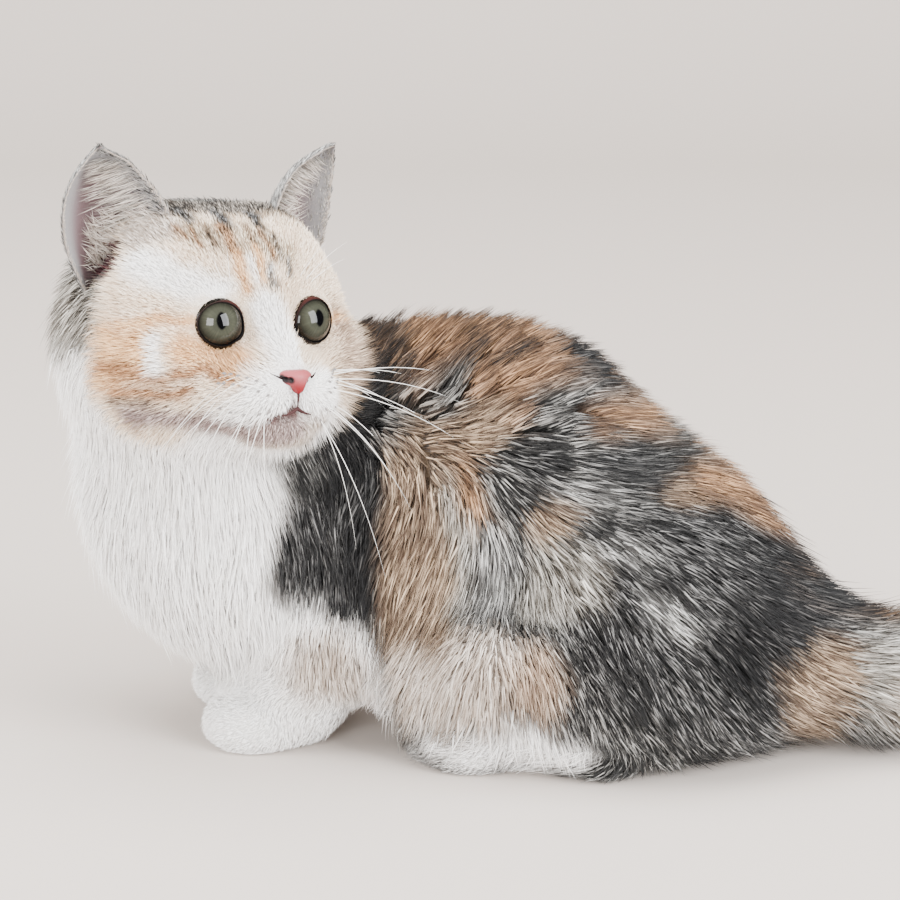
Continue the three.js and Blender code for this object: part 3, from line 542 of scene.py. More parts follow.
KINDS = {
    "white": (shade(252, 251, 250), shade(228, 223, 218), 0.25, 0.3),
    "ivory": (shade(244, 228, 208), shade(206, 180, 152), 0.4, 0.4),
    "milk": (shade(232, 222, 212), shade(158, 142, 128), 0.5, 0.45),
    "pale": (shade(212, 206, 196), shade(84, 78, 70), 0.58, 0.5),
    "peach": (shade(222, 196, 172), shade(134, 112, 94), 0.6, 0.45),
    "sand": (shade(240, 200, 150), shade(186, 136, 90), 0.5, 0.45),
    "cream": (shade(210, 182, 152), shade(86, 68, 54), 0.7, 0.5),
    "tan": (shade(208, 162, 120), shade(86, 62, 44), 0.7, 0.5),
    "brown": (shade(138, 108, 82), shade(28, 22, 19), 0.84, 0.45),
    "silver": (shade(222, 220, 216), shade(66, 64, 62), 0.72, 0.55),
    "grey": (shade(190, 187, 182), shade(32, 31, 30), 0.88, 0.6),
    "dark": (shade(156, 154, 152), shade(20, 19, 19), 0.95, 0.52),
    "black": (shade(112, 110, 108), shade(13, 12, 13), 1.0, 0.45),
    # The next kind is painted shade, for under the jaw and on the chin below the mouth
    "mauve": (shade(184, 166, 160), shade(122, 102, 98), 0.5, 0.5),
    # The next kind is the lips' own brownish pink, darkened by painted shade of the mouth's crease
    "lip": (shade(140, 106, 102), shade(78, 50, 48), 0.5, 0.4),
    "ash": (shade(182, 172, 160), shade(40, 35, 31), 0.82, 0.6),
    "rust": (shade(206, 158, 114), shade(126, 86, 56), 0.55, 0.45),
    "lining": (shade(172, 156, 154), shade(112, 96, 96), 0.55, 0.5),
    "fawn": (shade(228, 212, 188), shade(134, 112, 88), 0.5, 0.5),
    # The next kind is the dark red of an ear's bare hollow: reddish skin darkened by painted shade of the
    # recess
    "hollow": (shade(84, 46, 50), shade(30, 14, 16), 0.6, 0.5),
}


def kind_row(name):
    pale, dark, share, spread = KINDS[name]
    return np.concatenate([pale, dark, [share, spread]])


# Markings of the body as ovals on a plane that its sides are projected to, sloping as they round
# off: kind, middle along and up, radii, tilt downwards to the rear in degrees, and soft edge
PROJECTION = 0.268
WHOLE_WIDTH = 1000  # the ovals reach through the whole body
BODY_MARKS = [
    ("grey", 60, 60, 150, 100, 0, 8),
    ("dark", 78, 42, 42, 38, 30, 8),
    ("white", -92, 60, 44, 90, 0, 5),
    ("white", -46, 16, 28, 32, 0, 5),
    ("milk", -40, 27, 13, 12, 0, 6),
    ("pale", -112, 140, 15, 15, 0, 6),
    ("tan", 13, 122, 28, 19, 14, 5),
    ("brown", -25, 122, 11, 16, 20, 4),
    ("brown", 18, 128, 9, 2.5, -30, 3),
    ("brown", 3, 124, 2.5, 12, 30, 3),
    ("grey", -1, 111, 7, 11, -8, 5),
    ("cream", 8, 103, 12, 9, -30, 5),
    ("cream", -4, 84, 15, 24, -6, 5),
    ("cream", -6, 52, 15, 30, 0, 5),
    ("pale", 2, 66, 4, 26, -8, 4),
    ("tan", 5, 84, 4, 14, -12, 4),
    ("cream", -14, 58, 3, 30, 0, 3),
    ("milk", -8, 22, 10, 14, 0, 5),
    ("black", 50, 120, 20, 8, 28, 4),
    ("grey", 36, 106, 10, 14, -30, 5),
    ("dark", 29, 91, 9, 8, -25, 4),
    ("grey", 18, 78, 7, 14, -25, 5),
    ("silver", 11, 54, 7, 21, -10, 5),
    ("tan", 58, 102, 16, 6, 16, 4),
    ("cream", 32, 76, 11, 6, -35, 4),
    ("silver", 45, 84, 18, 5, -10, 5),
    ("grey", 62, 93, 20, 7, 10, 4),
    ("dark", 56, 91, 14, 7, 10, 5),
    ("black", 84, 97, 20, 5, 36, 4),
    ("cream", 76, 84, 10, 5, 14, 4),
    ("tan", 92, 79, 20, 6, 32, 4),
    ("black", 112, 70, 19, 4, 40, 3),
    ("silver", 52, 64, 14, 5, -12, 5),
    ("pale", 34, 56, 13, 14, -30, 5),
    ("black", 42, 68, 9, 1.2, -26, 1.5),
    ("black", 96, 42, 15, 26, 18, 6),
    ("silver", 66, 48, 10, 5, 40, 4),
    ("milk", 10, 24, 12, 17, 0, 5),
    ("peach", 26, 22, 9, 12, 0, 5),
    ("white", 18, 1, 28, 7, 3, 4),
    ("cream", 112, 20, 12, 15, 15, 5),
    ("pale", 140, 24, 16, 15, 6, 6),
    ("silver", 160, 36, 26, 12, 6, 7),
    ("milk", 172, 14, 34, 14, 6, 7),
    ("white", 200, 22, 40, 40, 0, 9),
    ("dark", 158, 46, 34, 5, 10, 5),
    ("brown", 126, 50, 27, 11, 14, 4),
    ("black", 116, 50, 16, 8, 20, 5),
    ("black", -30, 74, 13, 35, 4, 3.5),
    ("dark", -42, 66, 11, 20, 15, 4),
    ("black", -32, 108, 12, 14, 0, 4),
    ("dark", -58, 122, 16, 24, 0, 6),
]

# Markings of the head in its own frame, with painted shade under the jaw and at the mouth, as runs through
# places: kind, places, radius and soft edge
HEAD_MARKS = [
    ("silver", [at(-40, -30, 4), at(-26, -42, 2)], 15, 6),
    ("silver", [at(-40, 30, 4), at(-26, 42, 2)], 15, 6),
    ("grey", [at(-40, 0, 18), at(-22, 0, 40)], 22, 6),
    ("white", [at(0, 0, -46), at(40, 0, -46)], 22, 5),
    ("white", [at(7, -31, 19), at(20, -25, 14), at(27, -18, 15)], 6, 4),
    ("fawn", [at(15, -18, 30), at(22, -6, 29), at(24, 10, 25)], 6, 4),
    ("ash", [at(0, -20, 35), at(3, 0, 39), at(1, 22, 35)], 7.5, 4.5),
    ("milk", [at(0, -29, 27), at(8, -25, 29)], 5, 3),
    ("dark", [at(8, -7, 38), at(16, -7, 34)], 2.8, 2),
    ("dark", [at(5, -18, 35), at(10, -17, 33)], 2.2, 2),
    ("dark", [at(9, 6, 37), at(17, 5, 33)], 2.4, 2),
    ("cream", [at(16, -1, 34), at(24, -1, 28)], 1.6, 1.6),
    ("tan", [at(17, -9.5, 33), at(25, -9.5, 25)], 2.2, 1.8),
    ("sand", [at(25, -9.2, 25), at(31, -8.5, 14)], 1.9, 2),
    ("white", [at(27, -5.5, 24), at(31, -4.5, 16)], 1.0, 1.2),
    ("sand", [at(25, -2, 26.5), at(31, -2, 17)], 1.6, 1.6),
    ("tan", [at(20, 3.5, 32), at(27, 4, 24)], 1.4, 1.6),
    ("silver", [at(29, 1.5, 22), at(32, 2, 15)], 1.2, 1.2),
    ("ash", [at(20, 8, 31), at(27, 8, 23)], 1.4, 1.6),
    ("silver", [at(27, 11, 22), at(29, 9, 17)], 1.4, 1.4),
    ("tan", [at(10, -23, 30), at(15, -21, 26)], 0.9, 1.1),
    ("tan", [at(14, -19, 31), at(19, -18, 25)], 1.0, 1.1),
    ("brown", [at(16, -14.5, 32), at(21, -14, 27)], 1.0, 1.2),
    ("sand", [at(14, -41, -6), at(2, -43, -6), at(-8, -41, -4)], 8, 5),
    ("sand", [at(4, -44, -12), at(-8, -44, -14)], 7, 4),
    ("sand", [at(36, -15, -10), at(32, -22, -8), at(27, -29, -5)], 5, 3),
    ("rust", [at(34, -19, -13.5), at(30, -26, -12), at(26, -32, -12)], 1.3, 1.4),
    ("sand", [at(26, -25.5, 4), at(18, -33, 3), at(8, -38, 3)], 1.6, 2.2),
    ("rust", [at(24, -36, -14), at(12, -42, -13), at(0, -43, -12.5)], 2.0, 2),
    ("white", [at(20, -38, -3), at(22, -39, -11)], 2.6, 2),
    ("rust", [at(29, -30, -18), at(17, -38, -19.5), at(6, -42, -18.5)], 1.8, 2),
    ("cream", [at(16, -38, -23), at(4, -42, -23)], 1.6, 2),
    ("white", [at(38, -9, -18), at(38, 9, -18)], 7.5, 3),
    ("milk", [at(38, -8, -34), at(40, 3, -33), at(37, 12, -33)], 6, 3),
    # Painted shade under the jaw from the cheek to the chin, and on the chin below the mouth
    ("mauve", [at(8, -40, -30), at(17, -35, -28.5), at(28, -22, -29.5),
               at(36, -13, -31), at(42, 0, -31.5)], 4, 3),
    ("mauve", [at(41, -8, -28), at(43, 0, -28)], 2, 2.4),
    ("peach", [at(22, 36, 2), at(30, 30, -14)], 6, 4),
    ("sand", [at(26, 29, 4), at(20, 37, 3)], 1.6, 2.2),
    ("white", [at(33, -3, 8), at(40, -1, -6)], 6.5, 3),
    # The lips' colour with painted shade of the mouth's crease: a soft dark patch under the mouth line
    ("lip", [at(39.6, -6.5, -23.9), at(41.4, -2.5, -24.0), at(42.6, 1.0, -23.6)], 1.3, 1.1),
]

# How far the edges of the markings wander, and at what scales
WANDER = {"body": [(22, 3.5), (8, 2.5)], "head": [(8, 1.3), (3.5, 0.9)]}


def wandering(p, scales):
    shift = np.zeros_like(p)
    for size, reach in scales:
        for k in range(3):
            shift[:, k] += reach * noise(p, size, k + 1)
    return p + shift


SHEAR = 0.2  # how far the right side's markings lie ahead of the left's
HEAD_EDGE = {"layer": 0.6, "ramp": (-1, 5)}  # where the head takes over from the body
# The dark red that an ear's hollow takes is partly painted shade of the recess
HOLLOW_EDGE = (-0.5, 1.2)  # over which an ear's hollow takes its own shade


def head_share(p):
    layer = HEAD_EDGE["layer"]
    return ramp(*HEAD_EDGE["ramp"], body_field(p, layer) - head_field(to_head(p), layer))


GLOBE = 40  # the head's marks are compared on a ball of about its own size


def on_globe(p):
    return unit(p) * GLOBE


def markings(p):
    """The pale and dark shade, the dark share and the spread of the coat at each point, painted shade
    included.
    """
    q = wandering(p, WANDER["body"])
    x = q[:, 0] + SHEAR * np.maximum(p[:, 1], 0)
    flat = np.stack([x, 0 * x, q[:, 2] - PROJECTION * np.abs(q[:, 1])], -1)
    body = np.tile(kind_row("grey"), (len(p), 1))
    for name, mid_x, mid_z, radius_x, radius_z, tilt, soft in BODY_MARKS:
        oval = ball(at(mid_x, 0, mid_z), at(radius_x, WHOLE_WIDTH, radius_z), 0, 0, tilt)
        body = mix(body, kind_row(name), 1 - ramp(-soft, soft, oval(flat, 0)))
    q = on_globe(wandering(to_head(p), WANDER["head"]))
    head = np.tile(kind_row("ivory"), (len(p), 1))
    for name, places, radius, soft in HEAD_MARKS:
        knots = on_globe(np.array(places))
        gap = np.min([rod(a, b, radius, radius)(q, 0) for a, b in pairs(knots)], axis=0)
        head = mix(head, kind_row(name), 1 - ramp(-soft, soft, gap))
    # Painted shade: the bare skin in each ear's hollow drawn dark red
    head = mix(head, kind_row("hollow"), 1 - ramp(*HOLLOW_EDGE, from_ear_hollow(to_head(p))))
    return mix(body, head, head_share(p))


def shades(marks, pick):
    """One colour for each point, from its markings and a pick from 0, pale, to 1, dark."""
    share = np.clip(marks[:, 6] + marks[:, 7] * (2 * pick - 1), 0, 1)
    return mix(marks[:, :3], marks[:, 3:6], share)


# The lie of the coat: the way that the hair points, in degrees over level, on a grid of places
FLOW = {
    "along": [-40, -15, 5, 30, 60, 90, 110],
    "up": [20, 50, 80, 96, 108, 118, 130],
    "degrees": [
        [-80, -103, -95, -70, -55, -48, -30],
        [-80, -103, -98, -62, -50, -46, -30],
        [-80, -102, -100, -35, -38, -40, -34],
        [-80, -95, -80, -12, -24, -34, -36],
        [-70, -30, 5, 6, -18, -32, -36],
        [-40, 30, 34, 12, -14, -30, -36],
        [-20, 42, 38, 14, -12, -28, -36],
    ],
}


# Ways that regions set against the grid, with the ramps over which they take over from it
CHEST_LIE = {"way": at(0.15, 0, -1), "x": (-100, -50)}
TAIL_LIE = {"aside": [0, 0.08, 0.25, 0.45, 0.6], "drop": (-0.75, -0.1), "z": (8, 34), "x": (104, 128)}
LIMB_LIES = [
    (fore_limbs, at(-0.1, 0, -1), 6),
    (fore_feet, at(-1, 0, -0.5), 4),
    (hind_feet, at(-1, 0, -0.2), 4),
]
# On the head the hair fans out from before the nose, falls on the neck and chin, and parts round the eyes
FAN_MIDDLE = at(47, 0, -11)
NECK_FALL = {"way": at(0, 0, -1.3), "x": (5, -34)}
CHIN_FALL = {"way": at(-0.4, 0, -0.9), "z": (-22, -36)}
EYE_PARTING = {"away": (10, 17), "push": 1.7}


def lie(p, normal):
    """The way of the hair at each point, along the surface."""
    x, _, z = p.T
    one = np.ones(len(p))
    rows = [np.interp(x, FLOW["along"], row) for row in FLOW["degrees"]]
    place = np.clip(np.interp(z, FLOW["up"], range(len(rows))), 0, len(rows) - 1.001)
    low = place.astype(int)
    pick = np.arange(len(p))
    angle = np.radians(mix(np.array(rows)[low, pick], np.array(rows)[low + 1, pick], place - low))
    way = np.stack([np.cos(angle), 0 * one, np.sin(angle)], -1)
    way = mix(way, CHEST_LIE["way"], 1 - ramp(*CHEST_LIE["x"], x))
    aside = np.interp(x, TAIL_PLACES[:, 0], TAIL_LIE["aside"])
    drop = mix(*TAIL_LIE["drop"], ramp(*TAIL_LIE["z"], z))
    way = mix(way, np.stack([one, aside, drop], -1), ramp(*TAIL_LIE["x"], x))
    body = body_field(p, 0)
    for form, limb_way, reach in LIMB_LIES:
        way = mix(way, limb_way, 1 - ramp(1, reach, form(p, 0) - body))
    q = to_head(p)
    fan = unit(q - FAN_MIDDLE)
    fan = fan + NECK_FALL["way"] * ramp(*NECK_FALL["x"], q[:, 0])[:, None]
    fan = fan + CHIN_FALL["way"] * ramp(*CHIN_FALL["z"], q[:, 2])[:, None]
    for side in (1, -1):
        away = q - eye_centre(side)
        near = 1 - ramp(*EYE_PARTING["away"], np.linalg.norm(away, axis=1))
        towards = np.maximum(-(fan * unit(away)).sum(1), 0)
        fan = fan + unit(away) * (near * towards * EYE_PARTING["push"])[:, None]
    way = mix(unit(way), unit(fan) @ HEAD_AXES.T, head_share(p))
    way = way - normal * (way * normal).sum(1)[:, None]
    return unit(way)


# Material helpers
def new_material(name, roughness=0.6, specular=0.4, **sockets):
    material = bpy.data.materials.new(name)
    material.use_nodes = True
    shader = material.node_tree.nodes["Principled BSDF"]
    shader.inputs["Roughness"].default_value = roughness
    shader.inputs["Specular IOR Level"].default_value = specular
    for socket_name, value in sockets.items():
        shader.inputs[socket_name.replace("_", " ")].default_value = value
    return material, material.node_tree, shader


def add_node(tree, kind, inputs=None, **settings):
    node = tree.nodes.new(kind)
    for name, value in settings.items():
        setattr(node, name, value)
    for key, value in (inputs or {}).items():
        if isinstance(value, bpy.types.NodeSocket):
            tree.links.new(value, node.inputs[key])
        else:
            node.inputs[key].default_value = value
    return node


def shown_output(node):
    return next(socket for socket in node.outputs if socket.enabled)


def attribute(tree, name, output="Color"):
    return add_node(tree, "ShaderNodeAttribute", attribute_name=name).outputs[output]


def math_node(tree, operation, *values):
    return add_node(tree, "ShaderNodeMath", dict(enumerate(values)), operation=operation).outputs[0]


def vector_math(tree, operation, *values, scale=None):
    node = add_node(tree, "ShaderNodeVectorMath", dict(enumerate(values)), operation=operation)
    if scale is not None:
        if isinstance(scale, bpy.types.NodeSocket):
            tree.links.new(scale, node.inputs["Scale"])
        else:
            node.inputs["Scale"].default_value = scale
    return node.outputs["Value" if operation in ("LENGTH", "DOT_PRODUCT") else "Vector"]


def blend_colour(tree, factor, a, b, blend_type="MIX"):
    node = add_node(tree, "ShaderNodeMix", {0: factor, 6: a, 7: b}, data_type="RGBA", blend_type=blend_type)
    return shown_output(node)


def toned(tree, colour, tone):
    return blend_colour(tree, 1.0, colour, tone, "MULTIPLY")


def map_range(tree, value, source=(0.0, 1.0), target=(0.0, 1.0), smooth=False):
    """A value carried over from one range to another."""
    inputs = dict(enumerate([value, *source, *target]))
    interpolation = "SMOOTHSTEP" if smooth else "LINEAR"
    return add_node(tree, "ShaderNodeMapRange", inputs, interpolation_type=interpolation).outputs[0]


def object_noise(tree, scale, detail):
    coordinates = add_node(tree, "ShaderNodeTexCoord").outputs["Object"]
    inputs = {"Vector": coordinates, "Scale": scale, "Detail": detail}
    return add_node(tree, "ShaderNodeTexNoise", inputs).outputs["Fac"]


def rgba(colour):
    return (*[float(c) for c in colour], 1.0)


# Shares of a tuft's length over which its own shade comes up from the root's, and dims to the tip
HAIR_BAND = {"rise": (0.4, 0.56), "fall": (0.68, 0.82), "tip": 0.2}


def coat_material():
    """Hair: a band of its own shade on a darker root and tip, the root partly darkened as painted shade, with
    fine streaks along each tuft.
    """
    material, tree, shader = new_material("coat", 0.7, 0.25, Sheen_Weight=0.12, Sheen_Roughness=0.5)
    place = add_node(tree, "ShaderNodeSeparateXYZ", {0: attribute(tree, "place", "Vector")})
    along = place.outputs["X"]
    rise = map_range(tree, along, HAIR_BAND["rise"], smooth=True)
    fall = map_range(tree, along, HAIR_BAND["fall"], (1.0, HAIR_BAND["tip"]), smooth=True)
    band = math_node(tree, "MULTIPLY", rise, fall)
    colour = blend_colour(tree, band, attribute(tree, "root_shade"), attribute(tree, "tip_shade"))
    streaks = object_noise(tree, 900.0, 2.0)
    colour = toned(tree, colour, map_range(tree, streaks, target=(0.86, 1.12)))
    tree.links.new(colour, shader.inputs["Base Color"])
    return material


def grained_material(name, roughness, specular, grain, tones=(0.82, 1.14), strength=0.5, height=0.0002):
    """A finish that takes its colour from the mesh, with a fine grain in its tone and its relief."""
    material, tree, shader = new_material(name, roughness, specular)
    pores = object_noise(tree, grain, 3.0)
    colour = toned(tree, attribute(tree, "shade"), map_range(tree, pores, target=tones))
    tree.links.new(colour, shader.inputs["Base Color"])
    relief = add_node(tree, "ShaderNodeBump", {"Height": pores, "Strength": strength, "Distance": height})
    tree.links.new(relief.outputs[0], shader.inputs["Normal"])
    return material


COAT_MATERIAL = coat_material()
SKIN_MATERIAL = grained_material("skin", 0.8, 0.2, 1400.0, (0.75, 1.1), 1.0, 0.0006)

# Skin, and the shell at the tips of the coat, whose smoother shape leads the hair
SKIN_CELL = {"body": 2.2, "face": 0.9}
SHELL_CELL = {"body": 3.0, "face": 1.5}
SKIN_BAND = 9
# Along X, Y and Z: the span of the whole grid, and of its finer part at the face
GRID_SPANS = [((-132, 256), (-92, -26)), ((-76, 84), (-56, 2)), ((-22, 186), (104, 160))]
SKIN_CLEAR = 0.2  # height of the soles over the floor
COAT_DEPTHS = (1.5, 16)  # the least and most depth that the coat is taken to have
# Painted shade: the skin is drawn darker than its coat, for the shade under the hair
PAINTED_UNDER_SHADE = 0.85  # how dark the skin is next to its coat


def grid_lines(cell):
    return [graded(*whole, cell["body"], *face, cell["face"]) for whole, face in GRID_SPANS]


def shell_field(p, layer=1):
    """The coat's field, read at its tips where no layer is given."""
    return coat_field(p, layer)


skin_points, skin_faces = surface_net(skin_field, grid_lines(SKIN_CELL), SKIN_BAND)
skin_points = settle(skin_field, skin_points)
skin_points[:, 2] = np.maximum(skin_points[:, 2], SKIN_CLEAR)
skin_normals = unit(slope(skin_field, skin_points)[1])
skin_depth = np.clip(coat_field(skin_points, 0) - coat_field(skin_points, 1), *COAT_DEPTHS)
skin_marks = markings(skin_points)
skin = new_object("skin", skin_points, skin_faces, SKIN_MATERIAL)
add_colours(skin.data, "shade", shades(skin_marks, np.full(len(skin_points), 0.5)) * PAINTED_UNDER_SHADE)

shell_points, _ = surface_net(shell_field, grid_lines(SHELL_CELL), SKIN_BAND)
shell_points = settle(shell_field, shell_points, 1)
shell_normals = unit(slope(shell_field, shell_points, 1, 1.5)[1])
shell_lie = lie(shell_points, shell_normals)


def unwrap(obj):
    bpy.context.view_layer.objects.active = obj
    obj.select_set(True)
    bpy.ops.object.mode_set(mode="EDIT")
    bpy.ops.mesh.select_all(action="SELECT")
    bpy.ops.uv.smart_project(angle_limit=1.15, island_margin=0.001)
    bpy.ops.object.mode_set(mode="OBJECT")
    obj.select_set(False)
    obj.data.uv_layers[0].name = "OFBake"


unwrap(skin)


def tree_of(points):
    tree = KDTree(len(points))
    for i, p in enumerate(points):
        tree.insert(p, i)
    tree.balance()
    return tree


skin_tree = tree_of(skin_points)
shell_tree = tree_of(shell_points)


def nearest(tree, points):
    return np.array([tree.find(p)[1] for p in points])


# Roots of the tufts: places drawn on the skin's triangles, closer together where the coat is short
def triangles_of(mesh):
    mesh.calc_loop_triangles()
    count = len(mesh.loop_triangles)
    corners = np.empty(count * 3, dtype=np.int32)
    loops = np.empty(count * 3, dtype=np.int32)
    mesh.loop_triangles.foreach_get("vertices", corners)
    mesh.loop_triangles.foreach_get("loops", loops)
    uv = np.empty(len(mesh.loops) * 2, dtype=np.float32)
    mesh.uv_layers["OFBake"].data.foreach_get("uv", uv)
    return corners.reshape(-1, 3), uv.reshape(-1, 2)[loops.reshape(-1, 3)]


def scatter(points, corners, uvs, density):
    """Places on triangles with their spots on the unwrap; density is per square millimetre."""
    a, b, c = (points[corners[:, k]] for k in range(3))
    area = np.linalg.norm(np.cross(b - a, c - a), axis=1) / 2
    total = np.cumsum(area * density[corners].mean(1))
    count = int(total[-1])
    pick = np.searchsorted(total, (np.arange(count) + rng.random(count)) * total[-1] / count)
    pick = np.minimum(pick, len(total) - 1)
    u = np.sqrt(rng.random(count))[:, None]
    v = rng.random(count)[:, None]
    share = np.concatenate([1 - u, u * (1 - v), u * v], axis=1)
    root = (share[:, :, None] * np.stack([a, b, c], 1)[pick]).sum(1)
    spot = (share[:, :, None] * uvs[pick]).sum(1)
    return root, spot


# Tufts: each rises from its root and bends over to lie along the shell
SWING = 0.3  # how far a tuft turns aside, in radians
FLOOR_CLEAR = 0.5
BEND = {"rise": 0.6, "ahead": 0.15, "last": 0.38}


def paths(root, start, length, rise, swing):
    """Stops and tip of tufts from their roots; rise is the share of the coat's depth that they reach."""
    normal, depth = skin_normals[start], skin_depth[start]
    over = nearest(shell_tree, root + normal * depth[:, None])
    flow = shell_lie[over]
    way = unit(flow + np.cross(shell_normals[over], flow) * swing[:, None])
    ahead = root + normal * depth[:, None] + way * length[:, None]
    i = nearest(shell_tree, ahead)
    out = shell_normals[i]
    ahead = ahead - out * ((ahead - shell_points[i]) * out).sum(1)[:, None]
    tip = ahead - out * (depth * (1 - rise))[:, None]
    flat = unit(way - out * (way * out).sum(1)[:, None])
    stop_a = root + normal * (depth * rise * BEND["rise"])[:, None] + way * (length * BEND["ahead"])[:, None]
    stop_b = tip - flat * (length * BEND["last"])[:, None]
    stops = [stop_a, stop_b, tip]
    for stop in stops:
        stop[:, 2] = np.maximum(stop[:, 2], FLOOR_CLEAR)
    return stops, out


AHEAD = 1.0  # how far a tuft reaches along the coat, of the coat's depth
CLUMP = {
    "spacing": 4.0,
    "pull": (0.03, 0.18, 0.34),
    "length": (0.95, 1.2),
    "rise": (0.85, 1.08),
    "depths": (3.5, 9),
    "reach": 2,
}
RIDGE = {"facing": (0.2, 0.7), "height": (80, 100), "rise": 0.3, "pull": 1.4}


def on_ridge(start):
    """How far places of the skin lie on the top of the back, where clumps stand off."""
    facing = ramp(*RIDGE["facing"], skin_normals[start][:, 2])
    return facing * (1 - in_face[start]) * ramp(*RIDGE["height"], skin_points[start][:, 2])


def clumped(stops, root, depth, pull):
    """Draws the tips of neighbouring tufts together, more so where the coat is long."""
    corners, uvs = skin_triangles
    heads, _ = scatter(skin_points, corners, uvs, np.full(len(skin_points), CLUMP["spacing"] ** -2))
    start = nearest(skin_tree, heads)
    size = len(heads)
    length = skin_depth[start] * AHEAD * rng.uniform(*CLUMP["length"], size)
    rise = rng.uniform(*CLUMP["rise"], size) * (1 + RIDGE["rise"] * on_ridge(start))
    lead, _ = paths(heads, start, length, rise, rng.uniform(-SWING, SWING, size))
    mine = nearest(tree_of(heads), root)
    far = np.linalg.norm(heads[mine] - root, axis=1) > CLUMP["reach"] * CLUMP["spacing"]
    hold = ramp(*CLUMP["depths"], depth) * pull * ~far
    return [mix(stop, ahead[mine], hold * share) for stop, ahead, share in zip(stops, lead, CLUMP["pull"])]


def tuft_shape():
    """A tuft laid along X from 0 to 1: a point at both ends and a three-sided ring between."""
    points = [(0, 0, 0), (0.5, -0.5, -0.3), (0.5, 0.5, -0.3), (0.5, 0, 0.7), (1, 0, 0)]
    sides = [(1, 2), (2, 3), (3, 1)]
    faces = [(0, b, a) for a, b in sides] + [(4, a, b) for a, b in sides]
    mesh = bpy.data.meshes.new("tuft")
    mesh.from_pydata(points, [], faces)
    place = mesh.attributes.new("place", "FLOAT_VECTOR", "POINT")
    place.data.foreach_set("vector", np.array(points, dtype=np.float32).ravel())
    return bpy.data.objects.new("tuft", mesh)


TUFT = tuft_shape()
KNOTS = ("root", "stop_a", "stop_b", "tip")


def tuft_tree():
    """Geometry nodes that set one bent tuft on each root."""
    tree = bpy.data.node_groups.new("Tufts on roots", "GeometryNodeTree")
    sockets = {
        "Roots": ("NodeSocketGeometry", None),
        "Tuft": ("NodeSocketObject", None),
        "Thickness": ("NodeSocketFloat", 0.4),
        "Softness": ("NodeSocketFloat", 0.8),
        "Patch": ("NodeSocketFloat", 0.003),
        "Finish": ("NodeSocketMaterial", None),
    }
    for name, (kind, value) in sockets.items():
        item = tree.interface.new_socket(name, in_out="INPUT", socket_type=kind)
        if value is not None:
            item.default_value = value
    tree.interface.new_socket("Coat", in_out="OUTPUT", socket_type="NodeSocketGeometry")
    given = tree.nodes.new("NodeGroupInput").outputs

    def named(name, kind="FLOAT_VECTOR"):
        node = add_node(tree, "GeometryNodeInputNamedAttribute", {"Name": name}, data_type=kind)
        return node.outputs["Attribute"]

    shape = add_node(tree, "GeometryNodeObjectInfo", {"Object": given["Tuft"]}).outputs["Geometry"]
    spread = add_node(tree, "GeometryNodeInstanceOnPoints", {"Points": given["Roots"], "Instance": shape})
    real = add_node(tree, "GeometryNodeRealizeInstances", {"Geometry": spread.outputs[0]})
    place = add_node(tree, "ShaderNodeSeparateXYZ", {0: named("place")})
    along, across, lift = place.outputs

    def between(a, b):
        node = add_node(tree, "ShaderNodeMix", {0: along, 4: a, 5: b}, data_type="VECTOR")
        return shown_output(node)

    knots = [named(name) for name in KNOTS]
    while len(knots) > 1:
        knots = [between(a, b) for a, b in pairs(knots)]
    out = named("out")
    run = vector_math(tree, "SUBTRACT", named("tip"), named("root"))
    side = vector_math(tree, "NORMALIZE", vector_math(tree, "CROSS_PRODUCT", out, run))
    breadth = named("breadth", "FLOAT")
    aside = vector_math(tree, "SCALE", side, scale=math_node(tree, "MULTIPLY", across, breadth))
    height = math_node(tree, "MULTIPLY", lift, math_node(tree, "MULTIPLY", breadth, given["Thickness"]))
    raised = vector_math(tree, "SCALE", out, scale=height)
    position = vector_math(tree, "ADD", vector_math(tree, "ADD", knots[0], aside), raised)
    moved = add_node(tree, "GeometryNodeSetPosition", {"Geometry": real.outputs[0], "Position": position})
    facing = add_node(
        tree, "ShaderNodeMix",
        {0: given["Softness"], 4: tree.nodes.new("GeometryNodeInputNormal").outputs["Normal"], 5: out},
        data_type="VECTOR",
    )
    normal = vector_math(tree, "NORMALIZE", shown_output(facing))
    smooth = add_node(tree, "GeometryNodeSetMeshNormal", {"Mesh": moved.outputs[0]}, mode="FREE")
    tree.links.new(normal, smooth.inputs["Custom Normal"])
    centred = math_node(tree, "SUBTRACT", along, 0.5)
    corner = add_node(tree, "ShaderNodeCombineXYZ", {0: centred, 1: across})
    patch = vector_math(tree, "SCALE", corner.outputs[0], scale=given["Patch"])
    spot = vector_math(tree, "ADD", named("spot"), patch)
    marked = add_node(
        tree, "GeometryNodeStoreNamedAttribute",
        {"Geometry": smooth.outputs[0], "Name": "OFBake"},
        data_type="FLOAT2", domain="CORNER",
    )
    tree.links.new(spot, marked.inputs["Value"])
    finished = add_node(
        tree, "GeometryNodeSetMaterial",
        {"Geometry": marked.outputs[0], "Material": given["Finish"]},
    )
    result = tree.nodes.new("NodeGroupOutput")
    tree.links.new(finished.outputs[0], result.inputs[0])
    return tree


TUFTS = tuft_tree()


